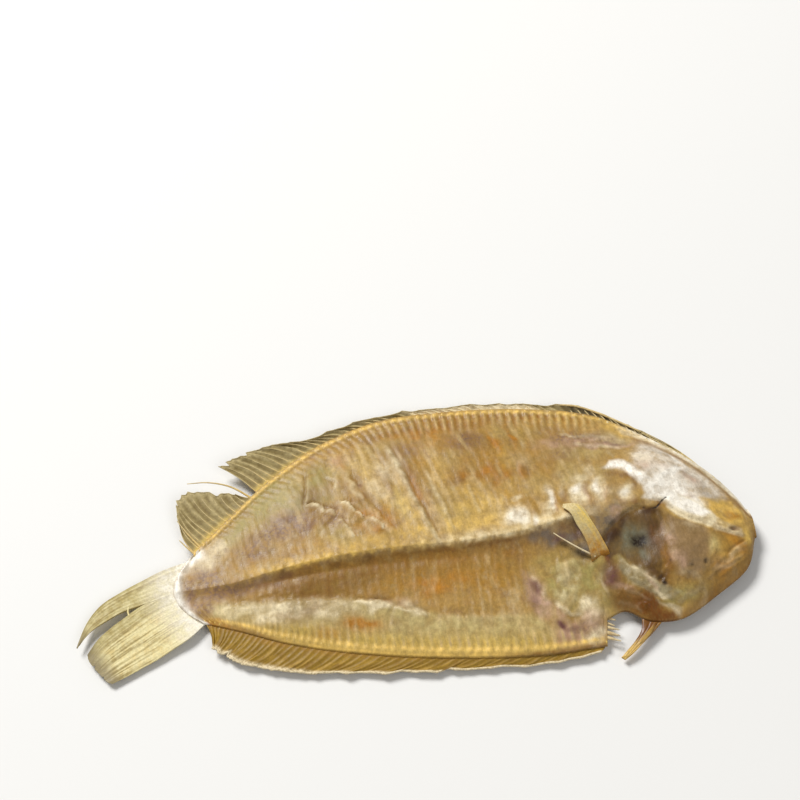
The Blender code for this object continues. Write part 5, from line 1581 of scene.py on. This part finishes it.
class DRIEDFISH_OT_chest_fin(FishPiece, bpy.types.Operator):
    """Builds the small folded chest fin behind the gill cover and the bone thread beside it"""

    bl_idname = "dried_fish.chest_fin"
    bl_label = "Chest Fin"

    def execute(self, context):
        colours = self.colours
        at = np.linspace(0, len(CHEST_FIN_LEFT) - 1, CHEST_FIN_STEPS)
        left, right = key_curve(CHEST_FIN_LEFT, at), key_curve(CHEST_FIN_RIGHT, at)
        rays = left + (right - left) * np.linspace(0, 1, CHEST_FIN_RAYS)[:, None, None]
        fin = Shape()
        fin_membrane(
            fin, rays, np.random.default_rng(93), CHEST_FIN_THICKNESS, 0.0, [], sag=0, streaks=94,
            edge_from=0.7, root_to=0.62,
        )
        fin.build("chest_fin", fin_finish(
            "chest_fin_skin", colours, colours.pleat, colours.yellow, colours.ray, colours.orange,
            colours.yellow,
        ))
        thread = Shape()
        path = key_curve(THREAD, np.linspace(0, len(THREAD) - 1, ROD_STEPS))
        add_tube(thread, path, np.linspace(*THREAD_RADII, ROD_STEPS), tip=1)
        thread.build("bone_thread", bone_finish("thread_bone", colours, colours.ray, colours.cream))
        return {"FINISHED"}


class DRIEDFISH_OT_throat(FishPiece, bpy.types.Operator):
    """Builds the gristle strap at the throat and the rib ends at the belly's cut"""

    bl_idname = "dried_fish.throat"
    bl_label = "Throat and Rib Ends"

    def execute(self, context):
        colours = self.colours
        strap, ribs = Shape(), Shape()
        at = np.linspace(0, len(STRAP_BACK) - 1, STRAP_COLUMNS)
        back, front = key_curve(STRAP_BACK, at), key_curve(STRAP_FRONT, at)
        share = np.linspace(0, 1, STRAP_ROWS)[:, None]
        web = back + (front - back) * share[..., None]
        bulge = np.sin(math.pi * share) ** 0.6
        strands = lumps(share * 9, at * 0.6, 1.0, 95)
        web[..., 2] += 0.45 * strands
        strap_tip = np.clip(0.5 * strands + np.linspace(-0.4, 0.9, len(at)), 0, 1)
        add_plate(strap, web, 0.5 + 1.2 * bulge * np.linspace(1, 0.5, len(at)), tip=strap_tip)
        draw = np.random.default_rng(100)
        for y in RIB_END_PLACES:
            reach, thick = draw.uniform(3.2, 4.8), draw.uniform(0.95, 1.3)
            line = [(57, y + 1.4, 2.2), (60.8, y + 0.5, 3.0), (61 + reach, y - 1.6, 3.0)]
            rib = key_curve(line, np.linspace(0, 2, RIB_END_STEPS))
            radii = thick * np.linspace(1.1, 0.1, RIB_END_STEPS) ** 0.7
            add_tube(ribs, rib, radii, tip=np.linspace(0.2, 1, RIB_END_STEPS))
        ribs.build("rib_ends", bone_finish("rib_bone", colours, colours.gold, colours.cream))
        strap.build("throat", bone_finish("gristle", colours, colours.rust, colours.gold))
        return {"FINISHED"}


class DRIEDFISH_OT_loose_rays(FishPiece, bpy.types.Operator):
    """Builds the single rays that stand free of the back fin"""

    bl_idname = "dried_fish.loose_rays"
    bl_label = "Loose Rays"

    def execute(self, context):
        rods = Shape()
        for keys in LOOSE_RAYS:
            path = key_curve(keys, np.linspace(0, len(keys) - 1, ROD_STEPS))
            radii = np.linspace(*LOOSE_RAY_RADII, ROD_STEPS)
            add_tube(rods, path, radii, tip=np.linspace(0.3, 1, ROD_STEPS))
        colours = self.colours
        rods.build("loose_rays", bone_finish("loose_ray_bone", colours, colours.bead, colours.ray))
        return {"FINISHED"}


class DRIEDFISH_OT_eyes(FishPiece, bpy.types.Operator):
    """Builds the two dried eyes under the head"""

    bl_idname = "dried_fish.eyes"
    bl_label = "Eyes"

    def execute(self, context):
        eyes = Shape()
        for ex, ey in EYES:
            round_eye = np.linspace(0, 2 * math.pi, EYE_COLUMNS + 1)[:-1]
            turn, drop = np.meshgrid(round_eye, np.linspace(0.04, 1, EYE_ROWS))
            radius = EYE_RADIUS * np.sin(drop * math.pi / 2)
            shrunk = 0.15 * np.sin(5 * turn) * drop * (1 - drop)
            z = head_lift(ex) + EYE_SEAT - EYE_DEPTH * np.cos(drop * math.pi / 2) + shrunk
            points = np.stack([ex + radius * np.cos(turn), ey + radius * np.sin(turn), z], axis=-1)
            faces = []
            for i in range(EYE_ROWS - 1):
                for j in range(EYE_COLUMNS):
                    here, after = i * EYE_COLUMNS + j, i * EYE_COLUMNS + (j + 1) % EYE_COLUMNS
                    faces.append((here + EYE_COLUMNS, after + EYE_COLUMNS, after, here))
            faces.append(tuple(range(EYE_COLUMNS)))
            faces.append(tuple(range((EYE_ROWS - 1) * EYE_COLUMNS, EYE_ROWS * EYE_COLUMNS))[::-1])
            eyes.add(points, faces, tip=1 - smooth_step(0.3, 0.5, drop).ravel())
        eyes.build("eyes", bone_finish("dried_eye", self.colours, self.colours.grey, self.colours.ink))
        return {"FINISHED"}


class DRIEDFISH_OT_stage(FishPiece, bpy.types.Operator):
    """Builds the pale floor, the soft lights and the camera"""

    bl_idname = "dried_fish.stage"
    bl_label = "Stage"

    def execute(self, context):
        scene, stage = context.scene, self.stage
        mesh = bpy.data.meshes.new("floor")
        reach = FLOOR_REACH
        corners = [(-reach, -reach, 0), (reach, -reach, 0), (reach, reach, 0), (-reach, reach, 0)]
        mesh.from_pydata(corners, [], [(0, 1, 2, 3)])
        floor = bpy.data.objects.new("floor", mesh)
        scene.collection.objects.link(floor)
        ground = Finish("pale_floor", stage.floor)
        mesh.materials.append(ground.finish(FLOOR_ROUGHNESS))
        self.add_light(scene, "key_light", KEY_LIGHT_SIZE, stage.key_power, KEY_LIGHT_PLACE)
        self.add_light(scene, "fill_light", FILL_LIGHT_SIZE, stage.fill_power, FILL_LIGHT_PLACE)
        world = bpy.data.worlds.new("studio_air")
        world.use_nodes = True
        air = world.node_tree.nodes["Background"]
        air.inputs["Color"].default_value = (1, 1, 1, 1)
        air.inputs["Strength"].default_value = AIR_STRENGTH
        scene.world = world
        scene.view_settings.view_transform = "Standard"
        self.add_camera(scene, stage.lens)
        return {"FINISHED"}

    def add_light(self, scene, name, size, power, spot):
        """A round soft light at this spot that shines at the fish."""
        lamp = bpy.data.lights.new(name, "AREA")
        lamp.shape, lamp.size, lamp.energy = "DISK", size, power
        made = bpy.data.objects.new(name, lamp)
        scene.collection.objects.link(made)
        made.rotation_mode = "QUATERNION"
        made.rotation_quaternion = (-Vector(spot)).to_track_quat("-Z", "Y")
        made.location = spot

    def add_camera(self, scene, focal_length):
        """The camera, turned and raised as it stood over the fish."""
        turn_sin, turn_cos = math.sin(CAMERA_TURN), math.cos(CAMERA_TURN)
        rise_sin, rise_cos = math.sin(CAMERA_RISE), math.cos(CAMERA_RISE)
        right, back = (turn_cos, turn_sin, 0), (turn_sin * rise_cos, -turn_cos * rise_cos, rise_sin)
        up = np.cross(back, right)
        x, y, z = CAMERA_PLACE
        place = (x - CENTRE[0]) * MM, (y - CENTRE[1]) * MM, z * MM
        lens = bpy.data.cameras.new("camera")
        lens.lens, lens.sensor_width = focal_length, LENS_SENSOR
        lens.clip_start, lens.clip_end = LENS_REACH
        camera = bpy.data.objects.new("camera", lens)
        scene.collection.objects.link(camera)
        camera.matrix_world = Matrix([*zip(right, up, back, place), (0, 0, 0, 1)])
        scene.camera = camera


PIECES = (
    DRIEDFISH_OT_shown_skin, DRIEDFISH_OT_hidden_skin, DRIEDFISH_OT_back_fin, DRIEDFISH_OT_belly_fin,
    DRIEDFISH_OT_tail_fin, DRIEDFISH_OT_chest_fin, DRIEDFISH_OT_throat, DRIEDFISH_OT_loose_rays,
    DRIEDFISH_OT_eyes, DRIEDFISH_OT_stage,
)


class DRIEDFISH_PT_pieces(bpy.types.Panel):
    """Lists the fish's pieces, its sizes and its colours"""

    bl_idname = "DRIEDFISH_PT_pieces"
    bl_label = "Dried Flatfish"
    bl_space_type = "VIEW_3D"
    bl_region_type = "UI"
    bl_category = "Dried Fish"

    def draw(self, context):
        for piece in PIECES:
            self.layout.operator(piece.bl_idname)
        scene = context.scene
        for group in (scene.dried_fish_sizes, scene.dried_fish_colours, scene.dried_fish_stage):
            box = self.layout.box()
            for name in group.bl_rna.properties.keys():
                if name not in ("rna_type", "name"):
                    box.prop(group, name)


GROUPS = {"dried_fish_sizes": FishSizes, "dried_fish_colours": FishColours, "dried_fish_stage": FishStage}


def register():
    """Adds the settings, the operators and the panel."""
    for made in (*GROUPS.values(), *PIECES, DRIEDFISH_PT_pieces):
        bpy.utils.register_class(made)
    for name, group in GROUPS.items():
        setattr(bpy.types.Scene, name, PointerProperty(type=group))


def unregister():
    """Takes them all out again."""
    for name in GROUPS:
        delattr(bpy.types.Scene, name)
    for made in reversed((*GROUPS.values(), *PIECES, DRIEDFISH_PT_pieces)):
        bpy.utils.unregister_class(made)


def main():
    """Builds every piece and the stage."""
    register()
    for piece in PIECES:
        group, name = piece.bl_idname.split(".")
        getattr(getattr(bpy.ops, group), name)()


if __name__ == "__main__":
    main()
